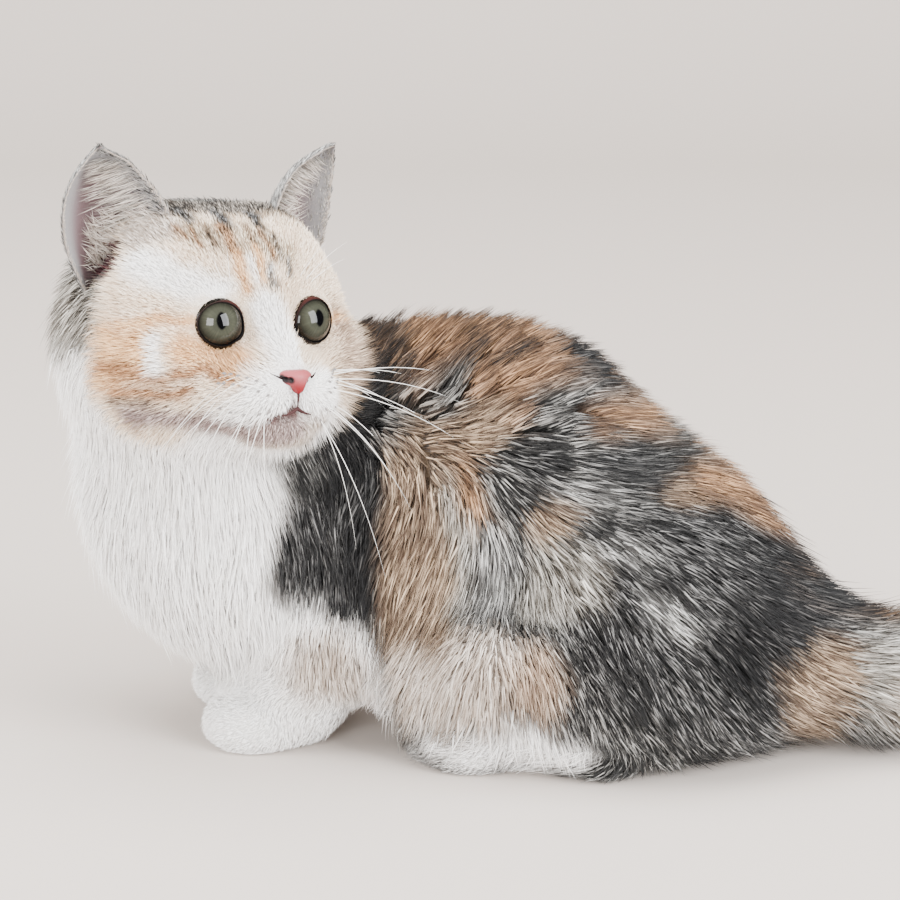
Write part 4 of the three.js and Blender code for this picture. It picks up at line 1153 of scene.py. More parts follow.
def grow(name, roots):
    """Makes one coat piece from the values of its roots, given by attribute name."""
    mesh = bpy.data.meshes.new(name + "_roots")
    mesh.vertices.add(len(roots["root"]))
    mesh.vertices.foreach_set("co", ((roots["root"] - MIDDLE) * MM).astype(np.float32).ravel())
    for key, values in roots.items():
        if key in KNOTS:
            values = (values - MIDDLE) * MM
        if key.endswith("shade"):
            add_colours(mesh, key, values)
        elif values.ndim == 1:
            mesh.attributes.new(key, "FLOAT", "POINT").data.foreach_set("value", values.astype(np.float32))
        else:
            flat = values.astype(np.float32).ravel()
            mesh.attributes.new(key, "FLOAT_VECTOR", "POINT").data.foreach_set("vector", flat)
    holder = placed(name + "_roots", mesh)
    modifier = holder.modifiers.new("Tufts", "NODES")
    modifier.node_group = TUFTS
    given = {"Tuft": TUFT, "Finish": COAT_MATERIAL}
    for item in TUFTS.interface.items_tree:
        if item.name in given:
            modifier[item.identifier] = given[item.name]
    graph = bpy.context.evaluated_depsgraph_get()
    coat = bpy.data.meshes.new_from_object(holder.evaluated_get(graph), depsgraph=graph)
    coat.name = name
    for spare in (*KNOTS, "out", "spot", "breadth"):
        if spare in coat.attributes:
            coat.attributes.remove(coat.attributes[spare])
    bpy.data.objects.remove(holder)
    return placed(name, coat)


skin_triangles = triangles_of(skin.data)
head_points = to_head(skin_points)
in_face = head_share(skin_points)
eye_gap = np.min([rim_share(head_points, side) for side in (1, -1)], axis=0)
from_nose = nose_field(head_points)
from_mouth = np.min([form(head_points, 0) for form in mouth_rods()], axis=0)

# Gaps between tufts by the depth of the coat, and on the face the least gap and its growth with depth
SPACING = {"depths": [1.5, 3, 5, 11, 16], "gaps": [0.62, 0.66, 0.72, 0.74, 0.74], "face": (0.46, 0.03)}
# Ramps over which tufts set in beside bare places, and over which they rise from lying close to the skin
SET_IN = {"eye": (1.02, 1.06), "nose": (0.2, 0.6), "ear": (0, 2)}
RISE_UP = {"eye": (1.0, 2.2), "nose": (0, 7), "mouth": (-0.5, 3)}
# Lengths and rises of tufts as shares, those that lie close, and the few that stand out of the coat
GROWTH = {"length": (0.7, 1.25), "rise": (0.45, 1.0)}
LYING = {"length": 0.35, "rise": 0.3}
WILD = {"share": 0.05, "length": 1.45, "rise": 1.3}
FACE_LENGTH = {"share": 1.2, "most": 5.5}
# Breadth of a tuft on the body and on the face: the least, and its growth with the depth of the coat
BREADTH = {"body": (0.3, 0.018), "face": (0.28, 0.02), "spread": (0.7, 1.3)}
ROOT_SUNK = 0.6  # how far a root starts under the skin
SEEN = 0.55  # the place along a tuft whose marking it takes


def tuft_density():
    """Tufts per square millimetre, with none on the lids, on the nose and in the hollows of the ears."""
    least, growth = SPACING["face"]
    spacing = np.interp(skin_depth, SPACING["depths"], SPACING["gaps"])
    spacing = mix(spacing, least + growth * skin_depth, in_face)
    density = spacing ** -2.0 * ramp(*SET_IN["eye"], eye_gap) * ramp(*SET_IN["nose"], from_nose)
    return density * ramp(*SET_IN["ear"], from_ear_hollow(head_points))


def laid_close(stops, root, normal, length, close):
    """Lays the tufts beside bare places along the skin."""
    flat = unit(stops[2] - root)
    flat = unit(flat - normal * (flat * normal).sum(1)[:, None])
    low = []
    for share in (0.3, 0.7, 1.0):
        low.append(root + flat * (share * length)[:, None] + normal * (0.3 + 0.5 * share))
    return [mix(near, far, close) for near, far in zip(low, stops)]


def body_tufts():
    """Values of the tufts on the skin by attribute name, with their places and their share of the head."""
    root, spot = scatter(skin_points, *skin_triangles, tuft_density())
    start = nearest(skin_tree, root)
    count = len(root)
    depth, normal, face = skin_depth[start], skin_normals[start], in_face[start]
    gaps = {"eye": eye_gap, "nose": from_nose, "mouth": from_mouth}
    close = np.minimum.reduce([ramp(*RISE_UP[key], gap) for key, gap in gaps.items()])[start]
    wild = rng.random(count) < WILD["share"]
    length = depth * AHEAD * rng.uniform(*GROWTH["length"], count) * mix(LYING["length"], 1.0, close)
    length = length * np.where(wild, WILD["length"], 1)
    length = np.where(face > 0.5, np.minimum(FACE_LENGTH["share"] * length, FACE_LENGTH["most"]), length)
    rise = rng.uniform(*GROWTH["rise"], count) * mix(LYING["rise"], 1.0, close)
    rise = rise * np.where(wild, WILD["rise"], 1)
    swing = rng.uniform(-SWING, SWING, count) + 0.35 * noise(root, 13, 11)
    stops, out = paths(root, start, length, rise, swing)
    pull = rng.uniform(0.6, 1.0, count) * (1 + RIDGE["pull"] * on_ridge(start))
    stops = laid_close(clumped(stops, root, depth, pull), root, normal, length, close)
    marks = markings(mix(root, stops[2], SEEN))
    pick = ramp(0, 1, rng.random(count) + 0.3 * noise(root, 3, 9) + 0.25 * noise(root, 9, 10))
    on_body, on_face = (least + growth * depth for least, growth in (BREADTH["body"], BREADTH["face"]))
    values = {
        "root": root - normal * ROOT_SUNK,
        "stop_a": stops[0],
        "stop_b": stops[1],
        "tip": stops[2],
        "out": unit(mix(normal, out, close)),
        "breadth": mix(on_body, on_face, face) * rng.uniform(*BREADTH["spread"], count) * MM,
        "spot": np.column_stack([spot, np.zeros(count)]),
        # The root takes the darker end of the ticking, dimmed a little more as painted shade deep in the coat
        "root_shade": shades(marks, np.clip(0.5 + 0.45 * pick, 0, 1)) * 0.95,
        "tip_shade": shades(marks, pick),
    }
    return values, root, face


# Where the pieces of the coat part along X, the top of the forelegs, and the middles between both sides
BORDERS = {"face": 4, "ruff": -46, "forelegs": -24, "flank": 20, "haunch": 116}
FORELEG_TOP = 46
MIDDLES = {"ruff": FRONT_MIDDLE - 3, "flank": 12, "haunch": 2}


def regions(root, in_head):
    """The pieces of the coat in order; each takes what those before it leave."""
    x, y, z = root.T
    ahead, left, _ = to_head(root).T
    return {
        "coat_face_right": in_head & (ahead > BORDERS["face"]) & (left < 0),
        "coat_face_left": in_head & (ahead > BORDERS["face"]),
        "coat_crown": in_head,
        "coat_forelegs": (z < FORELEG_TOP) & (x < BORDERS["forelegs"]),
        "coat_ruff_left": (x < BORDERS["ruff"]) & (y < MIDDLES["ruff"]),
        "coat_ruff_right": x < BORDERS["ruff"],
        "coat_flank_left": (x < BORDERS["flank"]) & (y < MIDDLES["flank"]),
        "coat_flank_right": x < BORDERS["flank"],
        "coat_haunch_left": (x < BORDERS["haunch"]) & (y < MIDDLES["haunch"]),
        "coat_haunch_right": x < BORDERS["haunch"],
        "coat_tail": x >= BORDERS["haunch"],
    }


tuft_values, tuft_places, tuft_face = body_tufts()
untaken = np.ones(len(tuft_places), dtype=bool)
coats = []
for region, chosen in regions(tuft_places, tuft_face > 0.5).items():
    mine = chosen & untaken
    untaken &= ~chosen
    coats.append(grow(region, {key: values[mine] for key, values in tuft_values.items()}))


# Meshes swept from rings of points, each ring closed on itself
def swept(name, rings, material, loop=False):
    count = len(rings[0])
    points = np.concatenate(rings)
    faces = []
    last = len(rings) if loop else len(rings) - 1
    for r in range(last):
        a, b = r * count, ((r + 1) % len(rings)) * count
        faces += [(a + k, a + (k + 1) % count, b + (k + 1) % count, b + k) for k in range(count)]
    if not loop:
        end = (len(rings) - 1) * count
        faces.append(tuple(reversed(range(count))))
        faces.append(tuple(end + k for k in range(count)))
    obj = new_object(name, points, faces, material)
    face_out(obj.data)
    return obj


def face_out(mesh):
    shape = bmesh.new()
    shape.from_mesh(mesh)
    bmesh.ops.recalc_face_normals(shape, faces=shape.faces)
    shape.to_mesh(mesh)
    shape.free()


def tube(name, line, ways, size, sides, material):
    """A tapering tube round a line, with both ways across it and its radius at each place."""
    aside, up = ways
    angles = np.arange(sides) * 2 * math.pi / sides
    rings = [line + size * (math.cos(a) * aside + math.sin(a) * up) for a in angles]
    return swept(name, list(np.stack(rings, 1)), material)


def joined(name, parts):
    """One object from several, keeping their materials and values."""
    with bpy.context.temp_override(active_object=parts[0], selected_editable_objects=parts):
        bpy.ops.object.join()
    parts[0].name = name
    parts[0].data.name = name
    return parts[0]


def through(knots, t):
    """Places at shares t of the way along a smooth curve through the knots."""
    knots = np.array([2 * knots[0] - knots[1], *knots, 2 * knots[-1] - knots[-2]])
    s = np.clip(t, 0, 1) * (len(knots) - 3)
    i = np.minimum(s.astype(int), len(knots) - 4)
    f = (s - i)[..., None]
    a, b, c, d = (knots[i + k] for k in range(4))
    return 0.5 * (2 * b + (c - a) * f + (2 * a - 5 * b + 4 * c - d) * f**2 + (3 * b - a - 3 * c + d) * f**3)


# Eyes: a ball each, with the iris and the slit pupil drawn from the distance to its axis
PUPIL = {"across": 1.6, "up": 2.65, "power": 1.6, "edge": (0.88, 1.12), "shade": shade(6, 6, 7)}
CORNEA = {"reach": 0.6, "bulge": 0.04}
IRIS = [
    (0.0, (29, 30, 25)), (0.2, (46, 47, 40)), (0.42, (55, 56, 47)), (0.58, (42, 42, 35)),
    (0.68, (24, 22, 18)), (0.74, (7, 6, 6)), (1.0, (5, 4, 4)),
]


def eye_material():
    """A dark slit on an iris in rings with fine spokes, with painted shade of the brow darkening its top."""
    wet = {"Coat_Weight": 1.0, "Coat_Roughness": 0.03, "Coat_IOR": 1.36}
    material, tree, shader = new_material("eye", 0.5, 0.0, **wet)
    spot = attribute(tree, "spot", "Vector")
    parts = add_node(tree, "ShaderNodeSeparateXYZ", {0: spot}).outputs
    across = math_node(tree, "ABSOLUTE", math_node(tree, "DIVIDE", parts["X"], PUPIL["across"]))
    across = math_node(tree, "POWER", across, PUPIL["power"])
    up = math_node(tree, "DIVIDE", parts["Y"], PUPIL["up"])
    squares = math_node(tree, "ADD", across, math_node(tree, "MULTIPLY", up, up))
    edge = map_range(tree, math_node(tree, "SQRT", squares), PUPIL["edge"])
    ring = math_node(tree, "DIVIDE", vector_math(tree, "LENGTH", spot), EYE["radius"])
    bands = add_node(tree, "ShaderNodeValToRGB", {0: ring})
    while len(bands.color_ramp.elements) < len(IRIS):
        bands.color_ramp.elements.new(0.5)
    for element, (place, colour) in zip(bands.color_ramp.elements, IRIS):
        element.position = place
        element.color = rgba(shade(*colour))
    spokes = vector_math(tree, "SCALE", vector_math(tree, "NORMALIZE", spot), scale=7.0)
    fibres = add_node(tree, "ShaderNodeTexNoise", {"Vector": spokes, "Scale": 2.2, "Detail": 4.0})
    tone = map_range(tree, fibres.outputs["Fac"], (0.3, 0.7), (0.8, 1.2))
    # Painted shade: the iris darker towards its top, for the shadow of the brow
    brow = map_range(tree, parts["Y"], (6.2, 2.0), (0.35, 1.1))
    iris = toned(tree, bands.outputs[0], math_node(tree, "MULTIPLY", tone, brow))
    colour = blend_colour(tree, edge, rgba(PUPIL["shade"]), iris)
    tree.links.new(colour, shader.inputs["Base Color"])
    return material


def eye(name, side, material):
    rings, spokes = 44, 64
    look, across, up = eye_axes(side, EYE["gaze"], EYE["gaze_rise"])
    theta = np.linspace(0, math.pi, rings)[1:-1]
    phi = np.arange(spokes) * 2 * math.pi / spokes
    reach = EYE["radius"] * (1 + CORNEA["bulge"] * np.exp(-((theta / CORNEA["reach"]) ** 2)))
    aside = (reach * np.sin(theta))[:, None] * np.cos(phi)
    upwards = (reach * np.sin(theta))[:, None] * np.sin(phi)
    ahead = np.repeat((reach * np.cos(theta))[:, None], spokes, 1)
    local = np.stack([aside, upwards, ahead], -1).reshape(-1, 3)
    local = np.concatenate([local, [[0, 0, EYE["radius"] * (1 + CORNEA["bulge"])], [0, 0, -EYE["radius"]]]])
    faces = []
    for r in range(len(theta) - 1):
        for k in range(spokes):
            a, b = r * spokes + k, r * spokes + (k + 1) % spokes
            faces.append((a, a + spokes, b + spokes, b))
    front, back = len(local) - 2, len(local) - 1
    base = (len(theta) - 1) * spokes
    for k in range(spokes):
        faces.append((front, k, (k + 1) % spokes))
        faces.append((back, base + (k + 1) % spokes, base + k))
    points = from_head(eye_centre(side) + local @ np.array([across, up, look]))
    obj = new_object(name, points, faces, material)
    face_out(obj.data)
    flat = (local * at(1, 1, 0)).astype(np.float32).ravel()
    obj.data.attributes.new("spot", "FLOAT_VECTOR", "POINT").data.foreach_set("vector", flat)
    return obj


EYE_MATERIAL = eye_material()
eyes = {name: eye(name, side, EYE_MATERIAL) for name, side in (("eye_left_ball", 1), ("eye_right_ball", -1))}


LID_MATERIAL = grained_material("lid", 0.6, 0.1, 2500.0)
NOSE_MATERIAL = grained_material("nose leather", 0.45, 0.3, 3500.0)
EAR_MATERIAL = grained_material("ear skin", 0.6, 0.3, 1500.0)

# Lids: a rim round each eye, whose section runs from on the ball outwards into the skin, as shares
# of the opening, of its rim's own reach and as heights over the ball
LID_SECTION = [
    (0.985, 0, -0.4), (0.99, 0, 0.15), (1.01, 0, 0.35), (1.02, 0.5, 0.5), (1.035, 1, 0.4), (1.05, 1, -0.2),
    (1.07, 1, -2.0), (0.99, 0, -2.0),
]
LID_SHADES = {
    "rim": shade(9, 7, 7),
    "halo": shade(44, 30, 28),
    "fold": shade(60, 29, 26),
    "corner": shade(26, 15, 15),
}
LID_RAMPS = {"halo": (1.02, 1.05), "corner": (0.05, 0.2), "fold": (0.2, 0.6)}
LID_STEPS = 72


def lid(side):
    look, across, up = eye_axes(side)
    angle = np.arange(LID_STEPS) * 2 * math.pi / LID_STEPS
    opening, reach, fold = lid_reach(side, angle)
    rings = []
    colours = []
    for scale, share, over in LID_SECTION:
        wide = scale + opening + share * reach
        aside = np.cos(angle) * EYE["width"] * wide
        upwards = np.sin(angle) * EYE["height"] * wide
        radius = EYE["radius"] + over
        ahead = np.sqrt(np.maximum(radius**2 - aside**2 - upwards**2, 4))
        local = np.stack([aside, upwards, ahead], -1)
        rings.append(from_head(eye_centre(side) + local @ np.array([across, up, look])))
        tone = np.tile(LID_SHADES["rim"], (LID_STEPS, 1))
        tone = mix(tone, LID_SHADES["halo"], ramp(*LID_RAMPS["halo"], scale))
        corner = share * ramp(*LID_RAMPS["corner"], reach - LID_FOLD["rim"] * fold)
        tone = mix(tone, LID_SHADES["corner"], corner)
        colours.append(mix(tone, LID_SHADES["fold"], 0.9 * fold * ramp(*LID_RAMPS["fold"], share)))
    obj = swept("lid", list(np.stack(rings, 1)), LID_MATERIAL, loop=True)
    add_colours(obj.data, "shade", np.stack(colours, 1).reshape(-1, 3))
    return obj


lids = joined("lids", [lid(1), lid(-1)])


# Nose: the box of its grid in the head's frame, and its shades
NOSE_CELL = 0.28
NOSE_SPANS = [(37, 49), (-7.6, 7.6), (-19.5, -8)]
# The nostril colour is painted shade in the nostrils' hollows
NOSE_SHADES = {"top": shade(154, 76, 80), "foot": shade(128, 30, 36), "nostril": shade(16, 4, 6)}


def nose():
    lines = [np.arange(*span, NOSE_CELL) for span in NOSE_SPANS]
    points, faces = surface_net(nose_field, lines, 3)
    points = settle(nose_field, points, 0, 1)
    obj = new_object("nose_leather", from_head(points), faces, NOSE_MATERIAL)
    hollows = [rod(a, b, 1.2, 1.0) for side in (1, -1) for a, b in pairs(nostril(side))]
    gap = np.min([hollow(points, 0) for hollow in hollows], axis=0)
    pink = np.tile(NOSE_SHADES["top"], (len(points), 1))
    pink = mix(pink, NOSE_SHADES["foot"], ramp(-12.5, -16, points[:, 2]))
    # Painted shade: the nostrils' hollows drawn nearly black
    add_colours(obj.data, "shade", mix(pink, NOSE_SHADES["nostril"], 1 - ramp(-0.3, 0.5, gap)))
    return obj


nose_piece = nose()


# Mouth: dark lines from under the nose to both corners, the lips' own dark line deepened by painted shade
# of their crease, and lines of painted shade in the grooves beside the nose, sunk in the fur, each with its
# shade and radius
LIP_SHADE = shade(62, 40, 40)
# The groove and lip lines are the mouth's own dark line deepened by painted shade; the last line is painted
# shade beside the nose
LINES = {"groove": (LIP_SHADE, 0.62), "lip": (LIP_SHADE, 0.62), "wing": (shade(34, 19, 20), 0.4)}
LINE_STEPS = 14
LINE_SIDES = 6
LINE_LAYER = 0.35  # how high in the coat the lines lie


def mouth():
    parts = []
    for key, side in (("groove", 1), ("lip", 1), ("wing", 1), ("lip", -1), ("wing", -1)):
        colour, radius = LINES[key]
        knots = np.array([mirrored(place, side) for place in MOUTH[key]])
        t = np.linspace(0, 1, LINE_STEPS)
        line = settle(coat_field, from_head(through(knots, t)), LINE_LAYER, 3)
        ahead = unit(np.gradient(line, axis=0))
        out = unit(slope(coat_field, line)[1])
        size = (radius * (1 - 0.8 * t))[:, None]
        part = tube("lip", line, (np.cross(out, ahead), out), size, LINE_SIDES, LID_MATERIAL)
        add_colours(part.data, "shade", np.tile(colour, (LINE_STEPS * LINE_SIDES, 1)))
        parts.append(part)
    return joined("mouth_line", parts)


mouth_piece = mouth()


# Ears: a sheet each that curls round its open front, between an inner rim, a back and an outer rim
EAR_BACK = [at(-18, 29, 17), at(-17, 33, 34), at(-12, 38, 46.5)]
EARS = {
    1: {
        "inner": [at(6, 14, 27), at(5, 19, 39), at(2.5, 27, 48), at(-1, 43.5, 56)],
        "back": [*EAR_BACK, at(-5, 45, 55.5)],
        "outer": [at(-14, 38, 9), at(-10, 45, 25), at(-6.5, 45.5, 39), at(-4, 45.5, 52)],
        "tip": 0.1,
    },
    -1: {
        "inner": [at(6, 17, 27), at(5, 23.5, 39), at(2.5, 31, 48), at(-1, 36.5, 54)],
        "back": [*EAR_BACK, at(-5, 40, 55)],
        "outer": [at(-14, 38, 9), at(-10, 48, 25), at(-6.5, 50, 39), at(-4.5, 43.5, 53.5)],
        "tip": 0.26,
    },
}
EAR_GRID = (48, 40)
EAR_THICK = {"edge": 0.4, "more": 0.9}
EAR_SHADES = {
    "back": shade(110, 106, 104),
    "rim": shade(146, 143, 143),
    "lining": shade(112, 92, 94),
    # The deepest colour is painted shade at the bottom of the ear's cup
    "deep": shade(52, 20, 26),
}


def ear_shares():
    """Shares of the way up an ear at the rows of its grid, closer together at its tip."""
    return np.sin(np.linspace(0, 0.5, EAR_GRID[0]) * math.pi)


def ear_sheet(side):
    """The middle of the sheet as a grid of points, with the ways out of it, up it and round it."""
    t = ear_shares()
    u = np.linspace(0, 1, EAR_GRID[1])[None, :, None]
    edges = [[mirrored(place, side) for place in EARS[side][key]] for key in ("inner", "back", "outer")]
    a, b, c = (through(edge, t)[:, None] for edge in edges)
    pull = 2 * b - (a + c) / 2
    sheet = (1 - u) ** 2 * a + 2 * u * (1 - u) * pull + u**2 * c
    middle = (a + b + c) / 3
    tip = EARS[side]["tip"]
    wide = np.sqrt(np.maximum(1 - (np.maximum(t - 1 + tip, 0) / tip) ** 2, 0.0004))
    sheet = middle + (sheet - middle) * wide[:, None, None]
    along = np.gradient(sheet, axis=0)
    around = np.gradient(sheet, axis=1)
    normal = unit(np.cross(around, along))
    flip = np.sign((normal * ((a + c) / 2 - b)).sum(-1).mean())
    return sheet, normal * flip, unit(along), unit(around)


def ear(name, side):
    sheet, normal, _, _ = ear_sheet(side)
    t = ear_shares()[:, None]
    u = np.linspace(0, 1, EAR_GRID[1])[None, :]
    thick = EAR_THICK["edge"] + EAR_THICK["more"] * (1 - np.abs(2 * u - 1) ** 6) * (1 - t**8)
    face = sheet - normal * (thick / 2)[..., None]
    lining = sheet + normal * (thick / 2)[..., None]
    rings = [from_head(ring) for ring in np.concatenate([face, lining[:, ::-1]], axis=1)]
    obj = swept(name, rings, EAR_MATERIAL)
    inside = np.concatenate([np.zeros(EAR_GRID), np.ones(EAR_GRID)], axis=1)
    depth = np.broadcast_to(np.sin(math.pi * u), EAR_GRID) * (1.02 - t)
    depth = np.concatenate([depth, depth[:, ::-1]], axis=1).ravel()
    back, front = (np.tile(EAR_SHADES[key], (depth.size, 1)) for key in ("back", "rim"))
    front = mix(front, EAR_SHADES["lining"], ramp(0.1, 0.5, depth))
    # Painted shade: the lining darker towards the middle and the base of the cup
    front = mix(front, EAR_SHADES["deep"], ramp(0.62, 0.98, depth))
    add_colours(obj.data, "shade", mix(back, front, inside.ravel()))
    return obj


ears = {name: ear(name, side) for name, side in (("ear_left_shell", 1), ("ear_right_shell", -1))}


def sheet_places(grid, t, u):
    """Values of a grid at shares t and u."""
    i = np.clip(np.arcsin(np.clip(t, 0, 1)) * 2 / math.pi * (EAR_GRID[0] - 1), 0, EAR_GRID[0] - 1.001)
    j = np.clip(u * (EAR_GRID[1] - 1), 0, EAR_GRID[1] - 1.001)
    i0, j0 = i.astype(int), j.astype(int)
    fi, fj = (i - i0)[:, None], (j - j0)[:, None]
    low = grid[i0, j0] * (1 - fj) + grid[i0, j0 + 1] * fj
    high = grid[i0 + 1, j0] * (1 - fj) + grid[i0 + 1, j0 + 1] * fj
    return low * (1 - fi) + high * fi


def ear_roots(side, t, u, face, way, length, breadth, kind):
    """Tufts on one face of an ear; way has shares up it, round it, across its mouth and out of it."""
    sheet, normal, along, around = ear_sheet(side)
    chord = np.broadcast_to(unit(sheet[:, -1:] - sheet[:, :1] + 1e-6), sheet.shape)
    root = sheet_places(sheet, t, u)
    out = sheet_places(normal, t, u) * face
    ways = [sheet_places(along, t, u), sheet_places(around, t, u), sheet_places(chord, t, u), out]
    ahead = sum(way[:, k:k + 1] * ways[k] for k in range(4))
    stand = way[:, 3:4] * ways[3]
    stops = [root + (ahead + stand * (0.8 - 0.8 * s)) * (s * length)[:, None] for s in (0.35, 0.7, 1.0)]
    pale, dark, share, spread = KINDS[kind]
    pick = rng.random(len(t))[:, None]
    colour = mix(pale, dark, np.clip(share + spread * (2 * pick - 1), 0, 1))
    turned = [from_head(place) for place in (root - out * 0.2, *stops)]
    return {
        **dict(zip(KNOTS, turned)),
        "out": out @ HEAD_AXES.T,
        "breadth": np.full(len(t), breadth * MM) * rng.uniform(0.7, 1.3, len(t)),
        "spot": np.column_stack([0.02 + 0.96 * u, 0.02 + 0.96 * t, 0 * t]),
        # Painted shade: each ear hair darker at its root
        "root_shade": colour * 0.85,
        "tip_shade": colour,
    }


def together(parts):
    return {key: np.concatenate([part[key] for part in parts]) for key in parts[0]}


# Hair of an ear in bands: face, kind, count, ranges of place up and round, ranges of its ways up,
# round, across and out, length and breadth
EAR_HAIR = [
    (-1, "silver", 6500, (0, 0.97), (0, 1), (1, 1), (-0.3, 0.3), (0, 0), (0.1, 0.25), (2.5, 5), 0.42),
    (-1, "dark", 260, (0.7, 0.94), (0.3, 0.7), (1, 1), (-0.3, 0.3), (0, 0), (0.1, 0.3), (3, 5), 0.3),
    (1, "milk", 1000, (0, 0.98), (0, 0.05), (1, 1), (-0.8, -0.2), (0, 0), (0.1, 0.3), (1.5, 2.5), 0.26),
    (1, "milk", 1000, (0, 0.98), (0.95, 1), (1, 1), (0.2, 0.8), (0, 0), (0.1, 0.3), (1.5, 2.5), 0.26),
    (1, "grey", 3200, (0.2, 0.97), (0.0, 0.42), (0.6, 1), (0.2, 0.8), (0, 0), (0.1, 0.3), (2, 4), 0.36),
    (1, "silver", 1500, (0.05, 0.95), (0.02, 0.3), (0.3, 1), (0.2, 0.8), (0, 0), (0.1, 0.3), (2, 4.5), 0.32),
    (1, "pale", 260, (0.1, 0.85), (0.02, 0.3), (0.0, 0.4), (0, 0.3), (0.6, 1), (0.15, 0.5), (6, 12), 0.2),
    (1, "milk", 260, (0.1, 0.8), (0.02, 0.3), (0.0, 0.4), (0, 0.3), (0.6, 1), (0.15, 0.5), (7, 13), 0.2),
    (1, "milk", 420, (0.0, 0.22), (0.0, 0.6), (0.4, 1), (-0.2, 0.2), (0.0, 0.6), (0.3, 0.9), (6, 12), 0.26),
    (1, "lining", 1600, (0.2, 1), (0.4, 1), (1, 1), (-0.2, 0.3), (0, 0), (0.05, 0.2), (1.5, 3), 0.26),
]
# More of the same for the left ear, whose front shows
FRONT_HAIR = {
    1: [(1, "pale", 1500, (0.0, 0.95), (0.35, 1), (0.6, 1), (-0.4, 0.2), (0, 0), (0.1, 0.3), (2.5, 5), 0.28)],
    -1: [],
}


def ear_coat(name, side):
    parts = []
    for face, kind, size, ups, rounds, *ways, lengths, breadth in EAR_HAIR + FRONT_HAIR[side]:
        t, u = rng.uniform(*ups, size), rng.uniform(*rounds, size)
        way = np.column_stack([rng.uniform(*pair, size) for pair in ways])
        length = rng.uniform(*lengths, size) * (1.1 - 0.5 * t)
        parts.append(ear_roots(side, t, u, face, way, length, breadth, kind))
    return grow(name, together(parts))


coats += [ear_coat("coat_ear_left", 1), ear_coat("coat_ear_right", -1)]


# Whiskers: long, tapered hairs from rows on the pads, and a few over the eyes
WHISKER_MATERIAL = new_material("whisker", 0.4, 0.4, Base_Color=rgba(shade(248, 246, 242)))[0]
# Rows of the pads from the top: how many whiskers each has, and their ways on the kitten's left
# and on its right, which is pressed back
WHISKER_COUNTS = [4, 4, 3, 2]
WHISKER_WAYS = {
    1: [at(0.1, 0.95, 0.12), at(0.1, 0.92, -0.2), at(0.1, 0.8, -0.55), at(0.1, 0.5, -0.85)],
    -1: [at(-0.42, 0.75, -0.4), at(-0.35, 0.6, -0.7), at(-0.25, 0.4, -0.9), at(-0.1, 0.15, -1)],
}
WHISKER_DROOP = {1: at(-0.15, -0.05, -0.3), -1: at(-0.3, -0.3, -0.4)}
WHISKER_LENGTH = {1: 1.3, -1: 0.85}
WHISKER_RADIUS = {"pad": 0.14, "brow": 0.12}
WHISKER_STEPS = 18
WHISKER_SIDES = 5
BROW_COUNT = 3


def pad_place(row, place):
    return at(41.8 - 2.6 * place - 0.7 * row, 10.2 + 1.6 * place - 0.7 * row, -15.2 - 2.5 * row + 0.3 * place)


def on_coat(place, side, layer):
    return to_head(settle(coat_field, from_head(mirrored(place, side))[None], layer, 3))[0]


def whisker(start, way, bend, length, radius):
    t = np.linspace(0, 1, WHISKER_STEPS)[:, None]
    line = start + length * (way * t + bend * t**2)
    ahead = unit(np.gradient(line, axis=0))
    aside = unit(np.cross(ahead, at(0.3, 0.2, 1)))
    up = np.cross(aside, ahead)
    ways = (aside @ HEAD_AXES.T, up @ HEAD_AXES.T)
    return tube("whisker", from_head(line), ways, radius * (1 - 0.9 * t), WHISKER_SIDES, WHISKER_MATERIAL)


def whiskers():
    parts = []
    for side in (1, -1):
        for row, (way, size) in enumerate(zip(WHISKER_WAYS[side], WHISKER_COUNTS)):
            for place in range(size):
                start = on_coat(pad_place(row, place + 0.5), side, 0.6)
                turned = unit(way - at(0.15 * (place - 1), 0, 0) + rng.uniform(-0.08, 0.08, 3))
                bend = WHISKER_DROOP[side] * rng.uniform(0.7, 1.1)
                length = rng.uniform(36, 50) * (1 - 0.1 * row) * WHISKER_LENGTH[side]
                ways = (mirrored(turned, side), mirrored(bend, side))
                parts.append(whisker(start, *ways, length, WHISKER_RADIUS["pad"]))
        for place in range(BROW_COUNT):
            start = on_coat(at(24, 12 + 2.5 * place, 15.5 - 0.8 * place), side, 0.5)
            way = mirrored(unit(at(0.4, 0.35 + 0.25 * place, 0.9)), side)
            parts.append(whisker(start, way, at(0, 0, -0.2), rng.uniform(14, 20), WHISKER_RADIUS["brow"]))
    return joined("whiskers", parts)


whisker_piece = whiskers()


def pad_dots():
    """Short dark tufts in rows where whiskers leave the pads."""
    places = [(row, place, side) for row in range(4) for place in range(6 - row // 2) for side in (1, -1)]
    start = np.array([on_coat(pad_place(row, place * 0.75), side, 0.8) for row, place, side in places])
    root = from_head(start)
    out = unit(slope(coat_field, root, 1)[1])
    way = lie(root, out)
    size = len(root)
    colour = np.tile(shade(124, 119, 117), (size, 1))
    values = {"root": root, "out": out, "breadth": np.full(size, 0.95 * MM), "spot": np.full((size, 3), 0.5)}
    for key, share in zip(KNOTS[1:], (0.4, 1.0, 1.7)):
        values[key] = root + way * share + out * 0.35
    return grow("pad_dots", {**values, "root_shade": colour, "tip_shade": colour})


coats.append(pad_dots())


# Stage, lights and camera
CAMERA = {
    "target": Vector((-0.0628, -0.0094, 0.0964)),
    "distance": 1.1,
    "elevation": 15,
    "width": 0.279,
    "sensor": 36,
}


# The floor and the wall behind it, in metres, with a round bend between them
STAGE = {"width": 4.0, "front": -2.4, "behind": 1.6, "height": 2.4, "bend": 0.6, "steps": 12}


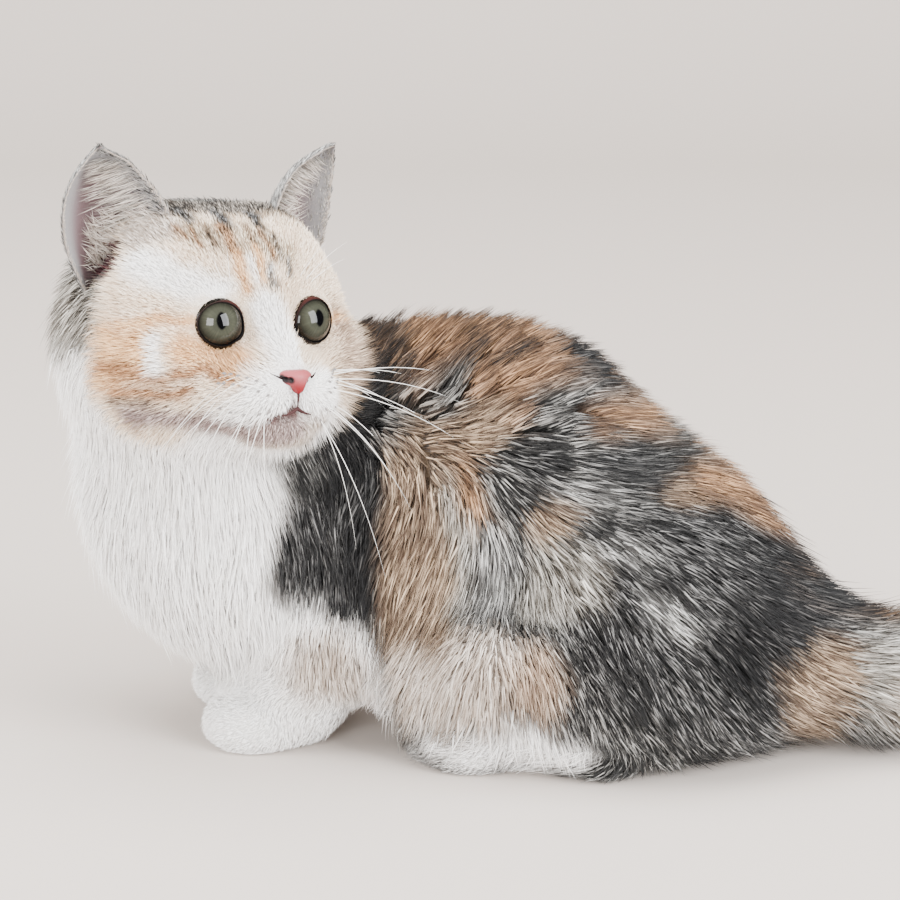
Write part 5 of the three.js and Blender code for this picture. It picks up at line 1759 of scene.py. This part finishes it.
def stage():
    floor = new_material("floor", 0.85, 0.2, Base_Color=rgba(shade(196, 186, 178)))[0]
    behind, bend, steps = STAGE["behind"], STAGE["bend"], STAGE["steps"]
    profile = [(STAGE["front"], 0.0), (behind - bend, 0.0)]
    for k in range(1, steps + 1):
        angle = math.radians(90 * k / steps)
        profile.append((behind - bend + bend * math.sin(angle), bend - bend * math.cos(angle)))
    profile.append((behind, STAGE["height"]))
    points = [(side * STAGE["width"] / 2, y, z) for y, z in profile for side in (-1, 1)]
    faces = [(2 * i, 2 * i + 1, 2 * i + 3, 2 * i + 2) for i in range(len(profile) - 1)]
    mesh = bpy.data.meshes.new("floor")
    mesh.from_pydata(points, [], faces)
    mesh.materials.append(floor)
    mesh.polygons.foreach_set("use_smooth", [True] * len(mesh.polygons))
    obj = placed("floor", mesh)
    obj.visible_glossy = False


def softbox(name, place, size, power, colour=(1, 1, 1), mirrored_in_eyes=True):
    light = bpy.data.lights.new(name, "AREA")
    light.shape = "RECTANGLE"
    light.size, light.size_y = size
    light.energy = power
    light.color = colour
    obj = placed(name, light)
    obj.visible_glossy = mirrored_in_eyes
    obj.location = place
    obj.rotation_euler = (CAMERA["target"] - Vector(place)).to_track_quat("-Z", "Y").to_euler()


def studio():
    world = bpy.data.worlds.new("studio")
    world.use_nodes = True
    background = world.node_tree.nodes["Background"]
    background.inputs["Color"].default_value = (1.0, 0.985, 0.97, 1.0)
    background.inputs["Strength"].default_value = 1.1
    world.cycles_visibility.glossy = False
    bpy.context.scene.world = world
    softbox("key", (1.25, -1.0, 0.75), (0.9, 1.5), 84, (0.96, 0.98, 1.0))
    softbox("fill", (-0.45, -1.5, 0.6), (0.7, 0.8), 34)
    softbox("side", (-1.5, -0.4, 0.7), (0.8, 1.0), 26)
    softbox("top", (-0.1, -0.1, 1.6), (1.6, 1.2), 58, mirrored_in_eyes=False)


def camera():
    lens = bpy.data.cameras.new("camera")
    lens.sensor_width = CAMERA["sensor"]
    lens.lens = CAMERA["sensor"] * CAMERA["distance"] / CAMERA["width"]
    obj = placed("camera", lens)
    angle = math.radians(CAMERA["elevation"])
    back = Vector((0, -math.cos(angle), math.sin(angle)))
    obj.location = CAMERA["target"] + back * CAMERA["distance"]
    obj.rotation_euler = (-back).to_track_quat("-Z", "Y").to_euler()
    bpy.context.scene.camera = obj


stage()
studio()
camera()

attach(skin, "root")
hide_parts("head", "neck", "chest", "torso", "foreleg_left", "foreleg_right", "hindleg_left",
            "hindleg_right", "tail_base", "tail_middle", "tail_tip")
for piece in [*coats, lids, mouth_piece, whisker_piece, *ears.values()]:
    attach(piece, "root")
for name, piece in ears.items():
    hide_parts(name.removesuffix("_shell"))
for name, piece in eyes.items():
    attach(piece, "root")
    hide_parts(name.removesuffix("_ball"))
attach(nose_piece, "root")
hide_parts("nose")
